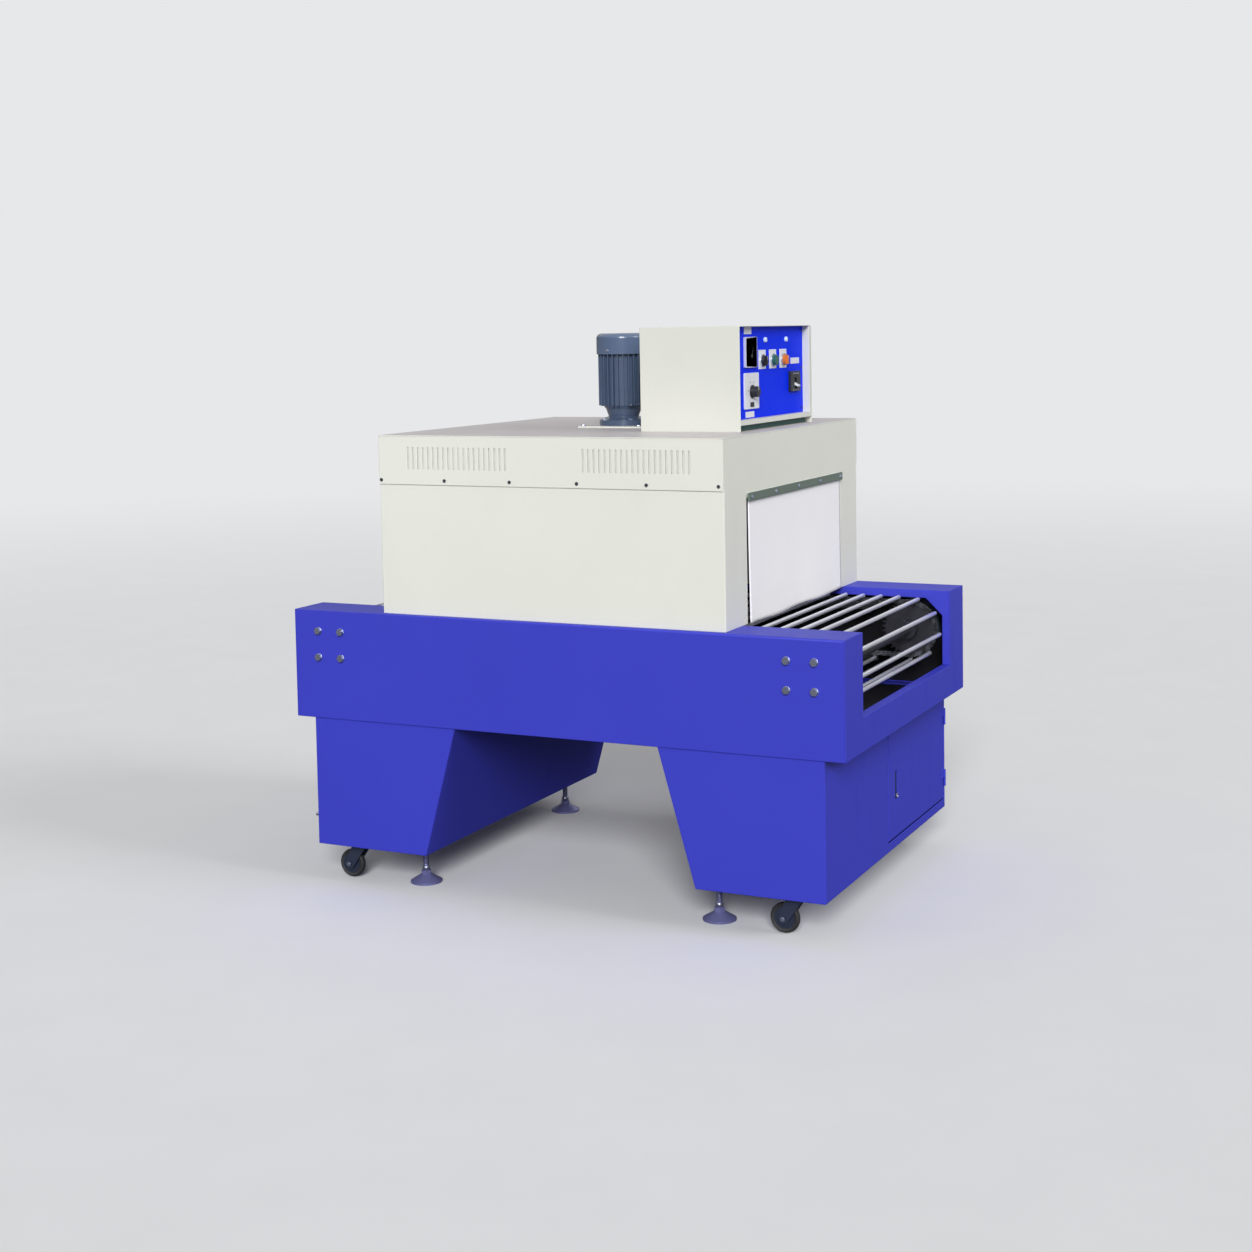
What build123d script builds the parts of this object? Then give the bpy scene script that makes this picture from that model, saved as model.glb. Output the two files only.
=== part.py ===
"""Heat shrink tunnel: a roller conveyor in a sheet steel frame on two tapered pedestals,
with an insulated hot air tunnel over it, and a fan motor and a control box on its roof.

X runs along the conveyor, Y across it and Z up. The origin is on the floor, under the
middle of the conveyor. The side nearest the viewer in Y is called near, the other far.
"""

from build123d import *
import os
from math import cos, hypot, pi, radians, sin

os.makedirs("parts", exist_ok=True)

# Conveyor frame of folded sheet
frame_length = 1540.0
frame_width = 1000.0
deck_height = 730.0
plate_height = 288.0
sheet = 3.0
flange_width = 130.0
foot_flange = 40.0
lip_depth = 22.0
gusset_leg = 46.0
sill_height = 84.0
fold_radius = 5.0

# Roller chain, 12.7 mm pitch
chain_pitch = 12.7
sprocket_teeth = 36
straight_links = 104
links_per_rod = 4
first_rod_link = 1.75
rod_diameter = 11.0
rod_length = 700.0
rod_offset = 13.6
lug_thickness = 3.5
lug_radius = 5.5
link_height = 11.8
link_thickness = 1.5
link_inner_width = 8.0
pin_diameter = 8.0
pin_reach = 8.4
tooth_width = 7.2
tooth_height = 4.2
tooth_gap_play = 0.2
tooth_tip = 3.0

# Shafts and their flanged bearing units
shaft_diameter = 25.0
shaft_chamfer = 1.5
shaft_below_deck = 106.0
bolts_above_shaft = 16.0
hub_diameter = 50.0
hub_length = 26.0
bearing_plate_width = 95.0
bearing_plate_height = 112.0
bearing_corner = 12.0
bearing_flange = 14.0
bearing_boss_diameter = 70.0
bearing_boss_length = 18.0
bearing_bolt_spacing = 70.0
bearing_bore_play = 0.05
bolt_across_flats = 17.0
bolt_head_height = 6.5
washer_diameter = 20.0
washer_thickness = 2.0
shaft_end_gap = 4.0

# Chain rails
rail_clearance = 0.3
rail_thickness = 3.0
upper_rail_reach = 165.0
lower_rail_reach = 141.0
rail_fold = 16.0
rail_end_gap = 12.0

# Pedestals
pedestal_bottom = 100.0
pedestal_end_inset = 54.0
pedestal_side_inset = 4.0
pedestal_top_width = 430.0
pedestal_bottom_width = 334.0

# Cabinet door in the right pedestal
door_seam = -12.0
door_far_margin = 10.0
door_top_gap = 26.0
door_bottom_gap = 28.0
door_gap = 5.0
door_depth = 14.0
door_skin = 2.0
hinge_diameter = 6.0
hinge_pin_diameter = 3.0
hinge_pin_play = 0.05
hinge_length = 46.0
hinge_end_inset = 34.0
hinge_leaf = 20.0
hinge_gap = 0.4
hinge_split = 0.4
lock_inset = 62.0
lock_slot_width = 16.0
lock_slot_height = 78.0
lock_slot_centre = 262.0
lock_margin = 12.0
lock_back = 6.0
lock_down = 27.0
lock_proud = 2.0
latch_diameter = 13.0

# Earth stud on the left pedestal
stud_diameter = 9.0
stud_length = 26.0
stud_height = 170.0
stud_side_inset = 30.0
earth_nut_across = 14.0
earth_nut_height = 6.5

# Levelling feet
foot_diameter = 84.0
foot_rim = 5.0
foot_height = 22.0
foot_neck_diameter = 26.0
foot_nut_across = 24.0
foot_nut_height = 10.0
foot_stem_diameter = 14.0
foot_side_inset = 100.0
foot_inset_right = 22.0
foot_inset_left = 60.0

# Casters
crown_thickness = 4.0
kingpin_head_diameter = 18.0
kingpin_head_height = 3.0
caster_plate_corner = 6.0
wheel_shoulder = 5.0
fork_top_width = 40.0
axle_head = 2.0
wheel_diameter = 75.0
wheel_width = 24.0
wheel_lift = 2.0
wheel_hub_diameter = 26.0
wheel_recess = 4.0
wheel_rim_diameter = 52.0
caster_trail = 28.0
caster_from_end = 150.0
caster_side_inset = 62.0
caster_plate_length = 78.0
caster_plate_width = 62.0
caster_plate_thickness = 3.0
swivel_diameter = 44.0
swivel_height = 6.0
swivel_play = 0.4
kingpin_diameter = 12.0
kingpin_play = 0.1
fork_thickness = 2.5
fork_gap = 1.5
axle_diameter = 8.0
axle_play = 0.1
fork_foot_radius = 13.0

# Heated tunnel
tunnel_right_end = 303.0
tunnel_length = 965.0
tunnel_width = 978.0
tunnel_height = 465.0
end_frame_depth = 30.0
mouth_width = 688.0
mouth_height = 310.0
hood_seam = 348.0
hood_lap = 10.0
skin = 3.0

# Vent slots in the hood
vent_slots = 20
vent_pitch = 15.0
vent_slot_width = 5.0
vent_slot_height = 56.0
vent_end_margin = 88.0
vent_middle = 58.0

# Curtains and their clamping strips
curtain_thickness = 2.4
curtain_side_gap = 7.0
curtain_bottom_gap = 12.0
curtain_play = 0.3
strip_thickness = 5.0
strip_height = 21.0
strip_below_mouth_top = 8.0

# Fan motor on the roof
motor_shift = -12.0
motor_plate_size = 190.0
motor_plate_thickness = 4.0
motor_plate_corner = 6.0
motor_foot_diameter = 132.0
motor_foot_thickness = 14.0
motor_bell_diameter = 96.0
motor_bell_height = 40.0
motor_bell_shoulder = 30.0
motor_neck_height = 10.0
motor_neck_diameter = 82.0
motor_barrel_diameter = 112.0
motor_barrel_height = 138.0
motor_fin_height = 11.0
motor_fin_thickness = 3.0
motor_fin_root = 1.0
motor_fins = 28
fan_hub_diameter = 40.0
fan_hub_height = 30.0
fan_blades = 7
fan_blade_thickness = 3.0
fan_blade_reach = 61.0
fan_blade_lift = 6.0
fan_blade_height = 28.0
cowl_diameter = 142.0
cowl_height = 56.0
cowl_shoulder = 14.0
cowl_wall = 2.0
cowl_floor_bore = 60.0
grille_slots = 18
grille_slot_width = 5.0
grille_inner_radius = 20.0
grille_outer_radius = 52.0
terminal_box_width = 70.0
terminal_box_height = 62.0
terminal_box_depth = 34.0

# Control box on the roof
box_from_tunnel_end = 52.0
box_length = 275.0
box_width = 516.0
box_shift = 10.0
box_height = 265.0
box_wall = 2.0
box_recess = 20.0
box_sill = 29.0
toe_height = 16.0
toe_depth = 20.0
box_far_border = 16.0
panel_thickness = 3.0

# Controls on the panel, placed across and above the middle of the box front
controller_width = 78.0
controller_height = 78.0
controller_across = -145.5
controller_up = 65.5
controller_proud = 7.0
speed_plate_width = 97.0
speed_plate_height = 92.0
speed_plate_across = -138.5
speed_plate_up = -33.0
speed_plate_proud = 4.0
speed_knob_diameter = 29.0
speed_knob_height = 16.0
speed_knob_skirt = 34.0
speed_knob_down = 2.0
speed_knob_skirt_height = 2.0
knob_taper = 4.0
controller_corner = 3.0
controller_bezel = 4.0
controller_sunk = 1.5
switch_pitch = 75.0
switch_across = 17.0
switch_up = 42.0
switch_diameter = 27.0
switch_height = 11.0
bezel_diameter = 34.0
bezel_height = 5.0
grip_width = 9.0
grip_height = 5.0
bezel_play = 0.4
button_travel = 4.0
button_height = 9.0
control_play = 0.5
lamp_shift = 20.0
lamp_round = 2.0
lamp_up = 96.0
lamp_diameter = 14.0
lamp_height = 6.0
breaker_width = 72.0
breaker_height = 54.0
breaker_from_panel_edge = 74.0
breaker_up = -17.5
breaker_proud = 8.0
breaker_lever_width = 16.0
breaker_lever_reach = 14.0
breaker_lever_thickness = 4.0
breaker_hub_radius = 3.0
breaker_slot_width = 18.0
breaker_slot_height = 32.0
breaker_slot_depth = 6.5
breaker_slot_down = 7.0
breaker_rest_angle = 25.0

# Levels and places that follow from the sizes above
half_length = frame_length / 2
half_width = frame_width / 2
frame_bottom = deck_height - plate_height
sill_level = frame_bottom + sill_height
channel_half = half_width - flange_width
inner_end = half_length - sheet
inner_side = half_width - sheet
pitch_radius = chain_pitch / (2 * sin(pi / sprocket_teeth))
shaft_level = deck_height - shaft_below_deck
bolt_level = shaft_level + bolts_above_shaft
rod_radius = pitch_radius + rod_offset
shaft_x = straight_links * chain_pitch / 2
turn_links = sprocket_teeth // 2
loop_links = 2 * (straight_links + turn_links)
rod_count = loop_links // links_per_rod
chain_centre = rod_length / 2 + lug_thickness + link_thickness + link_inner_width / 2
tunnel_right = half_length - tunnel_right_end
tunnel_left = tunnel_right - tunnel_length
tunnel_middle = (tunnel_right + tunnel_left) / 2
tunnel_half = tunnel_width / 2
roof_level = deck_height + tunnel_height
mouth_top = deck_height + mouth_height
mouth_half = mouth_width / 2
seam_level = deck_height + hood_seam
pedestal_half = half_width - pedestal_side_inset
pedestal_outer = half_length - pedestal_end_inset
pedestal_inner_top = pedestal_outer - pedestal_top_width
pedestal_inner_bottom = pedestal_outer - pedestal_bottom_width


def keep(part, name):
    """Label a finished piece and write it."""
    part.label = name
    export_step(part, f"parts/{name}.step")


def both_sides(y):
    """The near and far value of a distance from the middle plane."""
    return (-y, y)


# Side beams: a folded channel with a lip, closed by a gusseted lip plate
def lip_plate():
    """The far beam's lip: a strip under the flange, turned down with a gusset at each end."""
    lip_bottom = deck_height - lip_depth
    post = inner_end - lip_depth + sheet
    with BuildPart() as plate:
        with BuildSketch(Plane.XZ.offset(-channel_half - sheet)):
            with BuildLine():
                right_half = Polyline(
                    (0, deck_height),
                    (inner_end, deck_height),
                    (inner_end, sill_level),
                    (post, sill_level),
                    (post, lip_bottom - gusset_leg),
                    (post - gusset_leg, lip_bottom),
                    (0, lip_bottom),
                )
                mirror(right_half, about=Plane.YZ)
            make_face()
        extrude(amount=sheet)
    return plate.part


with BuildPart() as side_beam_far:
    with BuildSketch(Plane.YZ.offset(-inner_end)):
        with Locations((half_width, (deck_height + frame_bottom) / 2)):
            Rectangle(sheet, plate_height, align=(Align.MAX, Align.CENTER))
        with Locations((half_width, deck_height)):
            Rectangle(flange_width, sheet, align=(Align.MAX, Align.MAX))
        with Locations((half_width, frame_bottom + sheet)):
            Rectangle(foot_flange, sheet, align=(Align.MAX, Align.MIN))
    extrude(amount=2 * inner_end)
    long_edges = side_beam_far.edges().filter_by(Axis.X)
    fillet(long_edges.sort_by(lambda edge: edge.center().Y + edge.center().Z)[-1], fold_radius)
    add(lip_plate())

side_beam_near = mirror(side_beam_far.part, about=Plane.XZ)
keep(side_beam_far.part, "side_beam_far")
keep(side_beam_near, "side_beam_near")


# End plates: a U round the conveyor's mouth, with a folded sill
with BuildPart() as end_plate_right:
    with BuildSketch(Plane.YZ.offset(inner_end)):
        with Locations((0, frame_bottom)):
            Rectangle(frame_width, plate_height, align=(Align.CENTER, Align.MIN))
        with Locations((0, sill_level)):
            Rectangle(
                2 * channel_half, plate_height, align=(Align.CENTER, Align.MIN), mode=Mode.SUBTRACT
            )
    extrude(amount=sheet)
    with BuildSketch(Plane.XY.offset(sill_level)):
        with Locations((inner_end, 0)):
            Rectangle(lip_depth, 2 * channel_half, align=(Align.MAX, Align.CENTER))
    extrude(amount=-sheet)
keep(end_plate_right.part, "end_plate_right")
keep(mirror(end_plate_right.part, about=Plane.YZ), "end_plate_left")


# Bottom pan between the beams, seated under their foot flanges
with BuildPart() as bottom_pan:
    with BuildSketch(Plane.XY.offset(frame_bottom)):
        Rectangle(2 * inner_end, 2 * inner_side)
    extrude(amount=sheet)
keep(bottom_pan.part, "bottom_pan")


# Sprockets: between each pair of teeth is a gap that seats one roller of the chain
def sprocket(x, side):
    """A toothed wheel on the chain's centre plane, with a gap at every pin."""
    tip_radius = pitch_radius + tooth_height
    seat = pin_diameter / 2 + tooth_gap_play
    tip_gap = chain_pitch * tip_radius / pitch_radius - tooth_tip
    first_gap = 90 - first_rod_link * 360 / sprocket_teeth
    plane = Plane(origin=(x, side * chain_centre, shaft_level), x_dir=(1, 0, 0), z_dir=(0, -1, 0))
    with BuildPart() as wheel:
        with BuildSketch(plane):
            Circle(tip_radius)
            with PolarLocations(pitch_radius, sprocket_teeth, start_angle=first_gap):
                Polygon(
                    (-seat, -seat / 2),
                    (-seat / 2, -seat),
                    (0, -seat),
                    (tooth_height + seat, -tip_gap / 2),
                    (tooth_height + seat, tip_gap / 2),
                    (0, seat),
                    (-seat / 2, seat),
                    (-seat, seat / 2),
                    align=None,
                    mode=Mode.SUBTRACT,
                )
        extrude(amount=tooth_width / 2, both=True)
        with BuildSketch(plane):
            Circle(hub_diameter / 2)
        extrude(amount=side * (hub_length + tooth_width / 2))
    return wheel.part


def conveyor_shaft(x):
    """A shaft right across the frame, with a sprocket for each chain."""
    reach = inner_side - shaft_end_gap
    with BuildPart() as shaft:
        with BuildSketch(Plane.XZ):
            with Locations((x, shaft_level)):
                Circle(shaft_diameter / 2)
        extrude(amount=reach, both=True)
        add(sprocket(x, -1))
        add(sprocket(x, 1))
        ends = shaft.edges().group_by(Axis.Y)
        chamfer(ends[0] + ends[-1], shaft_chamfer)
    return shaft.part


keep(conveyor_shaft(shaft_x), "drive_shaft")
keep(conveyor_shaft(-shaft_x), "idler_shaft")


def loop_point(link, radius):
    """Place beside the chain's loop, counted in links from where it meets the right sprocket."""
    step = 180 / turn_links
    lower_start = turn_links
    left_start = turn_links + straight_links
    upper_start = left_start + turn_links
    if link <= lower_start:
        angle = radians(90 - step * link)
        return shaft_x + radius * cos(angle), shaft_level + radius * sin(angle)
    if link <= left_start:
        return shaft_x - (link - lower_start) * chain_pitch, shaft_level - radius
    if link <= upper_start:
        angle = radians(-90 - step * (link - left_start))
        return -shaft_x + radius * cos(angle), shaft_level + radius * sin(angle)
    return -shaft_x + (link - upper_start) * chain_pitch, shaft_level + radius


rod_links = [first_rod_link + links_per_rod * k for k in range(rod_count)]
rod_places = [loop_point(link, rod_radius) for link in rod_links]
pin_places = [loop_point(link, pitch_radius) for link in rod_links]

# Carrying rods, hung between the two chains
with BuildPart() as conveyor_rollers:
    with BuildSketch(Plane.XZ):
        with Locations(*rod_places):
            Circle(rod_diameter / 2)
    extrude(amount=rod_length / 2, both=True)
keep(conveyor_rollers.part, "conveyor_rollers")


# Chains: two rings of link plates on each side, joined by pins, with a lug for every rod
def chain_ring(near_edge):
    """One ring of link plates, from one distance from the middle plane outwards."""
    with BuildPart() as ring:
        with BuildSketch(Plane.XZ.offset(-near_edge)):
            with Locations((0, shaft_level)):
                SlotCenterToCenter(2 * shaft_x, 2 * pitch_radius + link_height)
                SlotCenterToCenter(
                    2 * shaft_x, 2 * pitch_radius - link_height, mode=Mode.SUBTRACT
                )
        extrude(amount=-link_thickness)
    return ring.part


lug_inner = rod_length / 2
pin_inner = lug_inner + lug_thickness
pin_outer = chain_centre + pin_reach
with BuildPart() as chain_far:
    add(chain_ring(pin_inner))
    add(chain_ring(chain_centre + link_inner_width / 2))
    with BuildSketch(Plane.XZ.offset(-pin_inner)):
        with Locations(*pin_places):
            Circle(pin_diameter / 2)
    extrude(amount=-(pin_outer - pin_inner))
    for pin_place, rod_place in zip(pin_places, rod_places):
        with BuildSketch(Plane.XZ.offset(-lug_inner)):
            with Locations(pin_place, rod_place):
                Circle(lug_radius)
            make_hull()
        extrude(amount=-lug_thickness)
keep(chain_far.part, "chain_far")
keep(mirror(chain_far.part, about=Plane.XZ), "chain_near")


# Chain rails: a shelf from each side plate under the carrying and the return run
rail_half = shaft_x - pitch_radius - link_height / 2 - rail_end_gap
link_half = link_height / 2 + rail_clearance
rail_runs = [
    (shaft_level + pitch_radius - link_half, upper_rail_reach),
    (shaft_level - pitch_radius - link_half, lower_rail_reach),
]
with BuildPart() as chain_rails:
    for top, reach in rail_runs:
        for side in (-1, 1):
            outer = side * inner_side
            inner = side * (inner_side - reach)
            with BuildSketch(Plane.YZ.offset(-rail_half)):
                with BuildLine():
                    Polyline(
                        (outer, top),
                        (inner, top),
                        (inner, top - rail_fold),
                        (inner + side * rail_thickness, top - rail_fold),
                        (inner + side * rail_thickness, top - rail_thickness),
                        (outer, top - rail_thickness),
                        close=True,
                    )
                make_face()
            extrude(amount=2 * rail_half)
keep(chain_rails.part, "chain_rails")


# Bearing units on the inside of the side plates
bearing_places = [(x, y) for x in (-shaft_x, shaft_x) for y in both_sides(inner_side)]
with BuildPart() as shaft_bearings:
    for x, y in bearing_places:
        facing = (0, -1 if y > 0 else 1, 0)
        inward = Plane(origin=(x, y, shaft_level), x_dir=(1, 0, 0), z_dir=facing)
        with BuildSketch(Plane(origin=(x, y, bolt_level), x_dir=(1, 0, 0), z_dir=facing)):
            RectangleRounded(bearing_plate_width, bearing_plate_height, bearing_corner)
        extrude(amount=bearing_flange)
        with BuildSketch(inward.offset(bearing_flange)):
            Circle(bearing_boss_diameter / 2)
        extrude(amount=bearing_boss_length)
        with BuildSketch(inward):
            Circle(shaft_diameter / 2 + bearing_bore_play)
        extrude(amount=bearing_flange + bearing_boss_length, mode=Mode.SUBTRACT)
keep(shaft_bearings.part, "shaft_bearings")

# Bolts of the bearing units, on the outside of the side plates
with BuildPart() as bearing_bolts:
    for x, y in [(x, y) for x in (-shaft_x, shaft_x) for y in both_sides(half_width)]:
        outward = Plane(origin=(x, y, bolt_level), x_dir=(1, 0, 0), z_dir=(0, 1 if y > 0 else -1, 0))
        with BuildSketch(outward):
            with GridLocations(bearing_bolt_spacing, bearing_bolt_spacing, 2, 2):
                Circle(washer_diameter / 2)
        extrude(amount=washer_thickness)
        with BuildSketch(outward.offset(washer_thickness)):
            with GridLocations(bearing_bolt_spacing, bearing_bolt_spacing, 2, 2):
                RegularPolygon(bolt_across_flats / 2, 6, major_radius=False)
        extrude(amount=bolt_head_height)
keep(bearing_bolts.part, "bearing_bolts")


# Pedestals: sheet panels round a box that narrows towards the floor
pedestal_height = frame_bottom - pedestal_bottom
taper = pedestal_inner_bottom - pedestal_inner_top
slant_run = sheet * hypot(taper, pedestal_height) / pedestal_height
panel_half = pedestal_half - sheet


def pedestal_sides():
    """The near and far panels of the right pedestal."""
    with BuildPart() as sides:
        for start in (-pedestal_half, pedestal_half - sheet):
            with BuildSketch(Plane.XZ.offset(-start)):
                with BuildLine():
                    Polyline(
                        (pedestal_outer, frame_bottom),
                        (pedestal_inner_top, frame_bottom),
                        (pedestal_inner_bottom, pedestal_bottom),
                        (pedestal_outer, pedestal_bottom),
                        close=True,
                    )
                make_face()
            extrude(amount=-sheet)
    return sides.part


def slanted_panel():
    """The panel that faces the other pedestal."""
    with BuildPart() as panel:
        with BuildSketch(Plane.XZ):
            with BuildLine():
                Polyline(
                    (pedestal_inner_top, frame_bottom),
                    (pedestal_inner_top + slant_run, frame_bottom),
                    (pedestal_inner_bottom + slant_run, pedestal_bottom),
                    (pedestal_inner_bottom, pedestal_bottom),
                    close=True,
                )
            make_face()
        extrude(amount=panel_half, both=True)
    return panel.part


def pedestal_floor():
    """The floor of the right pedestal, which carries the feet and casters."""
    floor_start = pedestal_inner_bottom + slant_run
    floor_end = pedestal_outer - sheet
    with BuildPart() as floor:
        with BuildSketch(Plane.XY.offset(pedestal_bottom)):
            with Locations(((floor_start + floor_end) / 2, 0)):
                Rectangle(floor_end - floor_start, 2 * panel_half)
        extrude(amount=sheet)
    return floor.part


keep(pedestal_sides(), "cabinet_sides")
keep(slanted_panel(), "cabinet_inner_panel")
keep(pedestal_floor(), "cabinet_floor")
keep(mirror(pedestal_sides(), about=Plane.YZ), "pedestal_sides")
keep(mirror(slanted_panel(), about=Plane.YZ), "pedestal_inner_panel")
keep(mirror(pedestal_floor(), about=Plane.YZ), "pedestal_floor")

with BuildPart() as pedestal_outer_panel:
    with BuildSketch(Plane.YZ.offset(-pedestal_outer)):
        with Locations((0, pedestal_bottom)):
            Rectangle(2 * panel_half, pedestal_height, align=(Align.CENTER, Align.MIN))
    extrude(amount=sheet)
keep(pedestal_outer_panel.part, "pedestal_outer_panel")

with BuildPart() as earth_stud:
    with BuildSketch(Plane.YZ.offset(-pedestal_outer)):
        with Locations((-pedestal_half + stud_side_inset, stud_height)):
            Circle(stud_diameter / 2)
    extrude(amount=-stud_length)
    with BuildSketch(Plane.YZ.offset(-pedestal_outer)):
        with Locations((-pedestal_half + stud_side_inset, stud_height)):
            RegularPolygon(earth_nut_across / 2, 6, major_radius=False)
    extrude(amount=-earth_nut_height)
keep(earth_stud.part, "earth_stud")

# Cabinet end: a fixed half, and a door on the far half in a frame
door_near = door_seam
door_far = panel_half - door_far_margin
door_low = pedestal_bottom + door_bottom_gap
door_high = frame_bottom - door_top_gap
with BuildPart() as cabinet_end_panel:
    with BuildSketch(Plane.YZ.offset(pedestal_outer - sheet)):
        with Locations((0, pedestal_bottom)):
            Rectangle(2 * panel_half, pedestal_height, align=(Align.CENTER, Align.MIN))
        with Locations(((door_near + door_far) / 2, (door_low + door_high) / 2)):
            Rectangle(
                door_far - door_near + 2 * door_gap,
                door_high - door_low + 2 * door_gap,
                mode=Mode.SUBTRACT,
            )
    extrude(amount=sheet)
keep(cabinet_end_panel.part, "cabinet_end_panel")

# Hinge line: just outside the far edge of the door
hinge_x = pedestal_outer + hinge_diameter / 2 + hinge_gap
hinge_y = door_far + door_gap / 2
hinge_levels = [
    door_low + hinge_end_inset + hinge_length / 2,
    door_high - hinge_end_inset - hinge_length / 2,
]

# Door: a skin with folded edges, a slot for the lock and the hinges' outer barrels
with BuildPart() as cabinet_door:
    with BuildSketch(Plane.YZ.offset(pedestal_outer)):
        with Locations(((door_near + door_far) / 2, (door_low + door_high) / 2)):
            Rectangle(door_far - door_near, door_high - door_low)
    extrude(amount=-door_depth)
    with BuildSketch(Plane.YZ.offset(pedestal_outer - door_skin)):
        with Locations(((door_near + door_far) / 2, (door_low + door_high) / 2)):
            Rectangle(door_far - door_near - 2 * door_skin, door_high - door_low - 2 * door_skin)
    extrude(amount=-door_depth, mode=Mode.SUBTRACT)
    with BuildSketch(Plane.YZ.offset(pedestal_outer)):
        with Locations((door_near + lock_inset, lock_slot_centre)):
            SlotOverall(lock_slot_height, lock_slot_width, rotation=90)
    extrude(amount=-door_skin, mode=Mode.SUBTRACT)
    for level in hinge_levels:
        with BuildSketch(Plane.XY.offset(level + hinge_split)):
            with Locations((hinge_x, hinge_y)):
                Circle(hinge_diameter / 2)
            with Locations((pedestal_outer + door_skin / 2, hinge_y - hinge_leaf / 2)):
                Rectangle(door_skin, hinge_leaf)
            with Locations((hinge_x, hinge_y)):
                Circle(hinge_pin_diameter / 2 + hinge_pin_play, mode=Mode.SUBTRACT)
        extrude(amount=hinge_length / 2 - hinge_split)
keep(cabinet_door.part, "cabinet_door")

# Hinges: the knuckles and pins that stay on the cabinet
with BuildPart() as door_hinges:
    for level in hinge_levels:
        with BuildSketch(Plane.XY.offset(level - hinge_split)):
            with Locations((hinge_x, hinge_y)):
                Circle(hinge_diameter / 2)
            with Locations((pedestal_outer, hinge_y)):
                Rectangle(door_skin, pedestal_half - hinge_y, align=(Align.MIN, Align.MIN))
        extrude(amount=hinge_split - hinge_length / 2)
        with BuildSketch(Plane.XY.offset(level - hinge_split)):
            with Locations((hinge_x, hinge_y)):
                Circle(hinge_pin_diameter / 2)
        extrude(amount=hinge_length / 2)
keep(door_hinges.part, "door_hinges")

# Lock: a dark backing plate behind the slot, with the lock's round end in it
with BuildPart() as door_lock:
    with BuildSketch(Plane.YZ.offset(pedestal_outer - door_skin)):
        with Locations((door_near + lock_inset, lock_slot_centre)):
            SlotOverall(lock_slot_height + lock_margin, lock_slot_width + lock_margin, rotation=90)
    extrude(amount=-lock_back)
    with BuildSketch(Plane.YZ.offset(pedestal_outer - door_skin)):
        with Locations((door_near + lock_inset, lock_slot_centre - lock_down)):
            Circle(latch_diameter / 2)
    extrude(amount=door_skin + lock_proud)
keep(door_lock.part, "door_lock")


# Levelling feet: a cone with a lock nut on a threaded stem
foot_side = half_width - foot_side_inset
foot_places = [
    (x, y)
    for x in (pedestal_inner_bottom + foot_inset_right, -pedestal_inner_bottom - foot_inset_left)
    for y in both_sides(foot_side)
]
with BuildPart() as levelling_feet:
    for x, y in foot_places:
        with BuildSketch(Plane(origin=(x, y, 0), x_dir=(1, 0, 0), z_dir=(0, -1, 0))):
            with BuildLine():
                Polyline(
                    (0, 0),
                    (foot_diameter / 2, 0),
                    (foot_diameter / 2, foot_rim),
                    (foot_neck_diameter / 2, foot_height),
                    (foot_stem_diameter / 2, foot_height),
                    (foot_stem_diameter / 2, pedestal_bottom),
                    (0, pedestal_bottom),
                    close=True,
                )
            make_face()
        revolve(axis=Axis((x, y, 0), (0, 0, 1)))
        with BuildSketch(Plane(origin=(x, y, foot_height))):
            RegularPolygon(foot_nut_across / 2, 6, major_radius=False)
        extrude(amount=foot_nut_height)
keep(levelling_feet.part, "levelling_feet")


# Casters: a fixed plate, a swivelling fork and a wheel at each corner
axle_level = wheel_diameter / 2 + wheel_lift
plate_bottom = pedestal_bottom - caster_plate_thickness
race_bottom = plate_bottom - swivel_height
crown_top = race_bottom - swivel_play
crown_bottom = crown_top - crown_thickness
caster_x = half_length - caster_from_end
caster_y = half_width - caster_side_inset
corners = {
    "right_near": (caster_x, -caster_y),
    "right_far": (caster_x, caster_y),
    "left_near": (-caster_x, -caster_y),
    "left_far": (-caster_x, caster_y),
}

with BuildPart() as caster_plates:
    for x, y in corners.values():
        with BuildSketch(Plane(origin=(x, y, plate_bottom))):
            RectangleRounded(caster_plate_length, caster_plate_width, caster_plate_corner)
        extrude(amount=caster_plate_thickness)
        with BuildSketch(Plane(origin=(x, y, plate_bottom))):
            Circle(swivel_diameter / 2)
        extrude(amount=-swivel_height)
        with BuildSketch(Plane(origin=(x, y, race_bottom))):
            Circle(kingpin_diameter / 2)
        extrude(amount=-(swivel_play + crown_thickness + kingpin_play))
        with BuildSketch(Plane(origin=(x, y, crown_bottom - kingpin_play))):
            Circle(kingpin_head_diameter / 2)
        extrude(amount=-kingpin_head_height)
keep(caster_plates.part, "caster_plates")


def caster_fork(x, y):
    """A crown round the kingpin with two legs and the axle between them."""
    axle_x = x - caster_trail
    leg_inner = wheel_width / 2 + fork_gap
    with BuildPart() as fork:
        with BuildSketch(Plane(origin=(x, y, crown_top))):
            Circle(swivel_diameter / 2)
            Circle(kingpin_diameter / 2 + kingpin_play, mode=Mode.SUBTRACT)
        extrude(amount=-crown_thickness)
        for inner in (-leg_inner - fork_thickness, leg_inner):
            with BuildSketch(Plane.XZ.offset(-y - inner)):
                with Locations((axle_x, axle_level)):
                    Circle(fork_foot_radius)
                with Locations((x, crown_bottom + crown_thickness / 2)):
                    Rectangle(fork_top_width, crown_thickness)
                make_hull()
            extrude(amount=-fork_thickness)
        with BuildSketch(Plane.XZ.offset(-y)):
            with Locations((axle_x, axle_level)):
                Circle(axle_diameter / 2)
        extrude(amount=leg_inner + fork_thickness + axle_head, both=True)
    return fork.part


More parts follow.
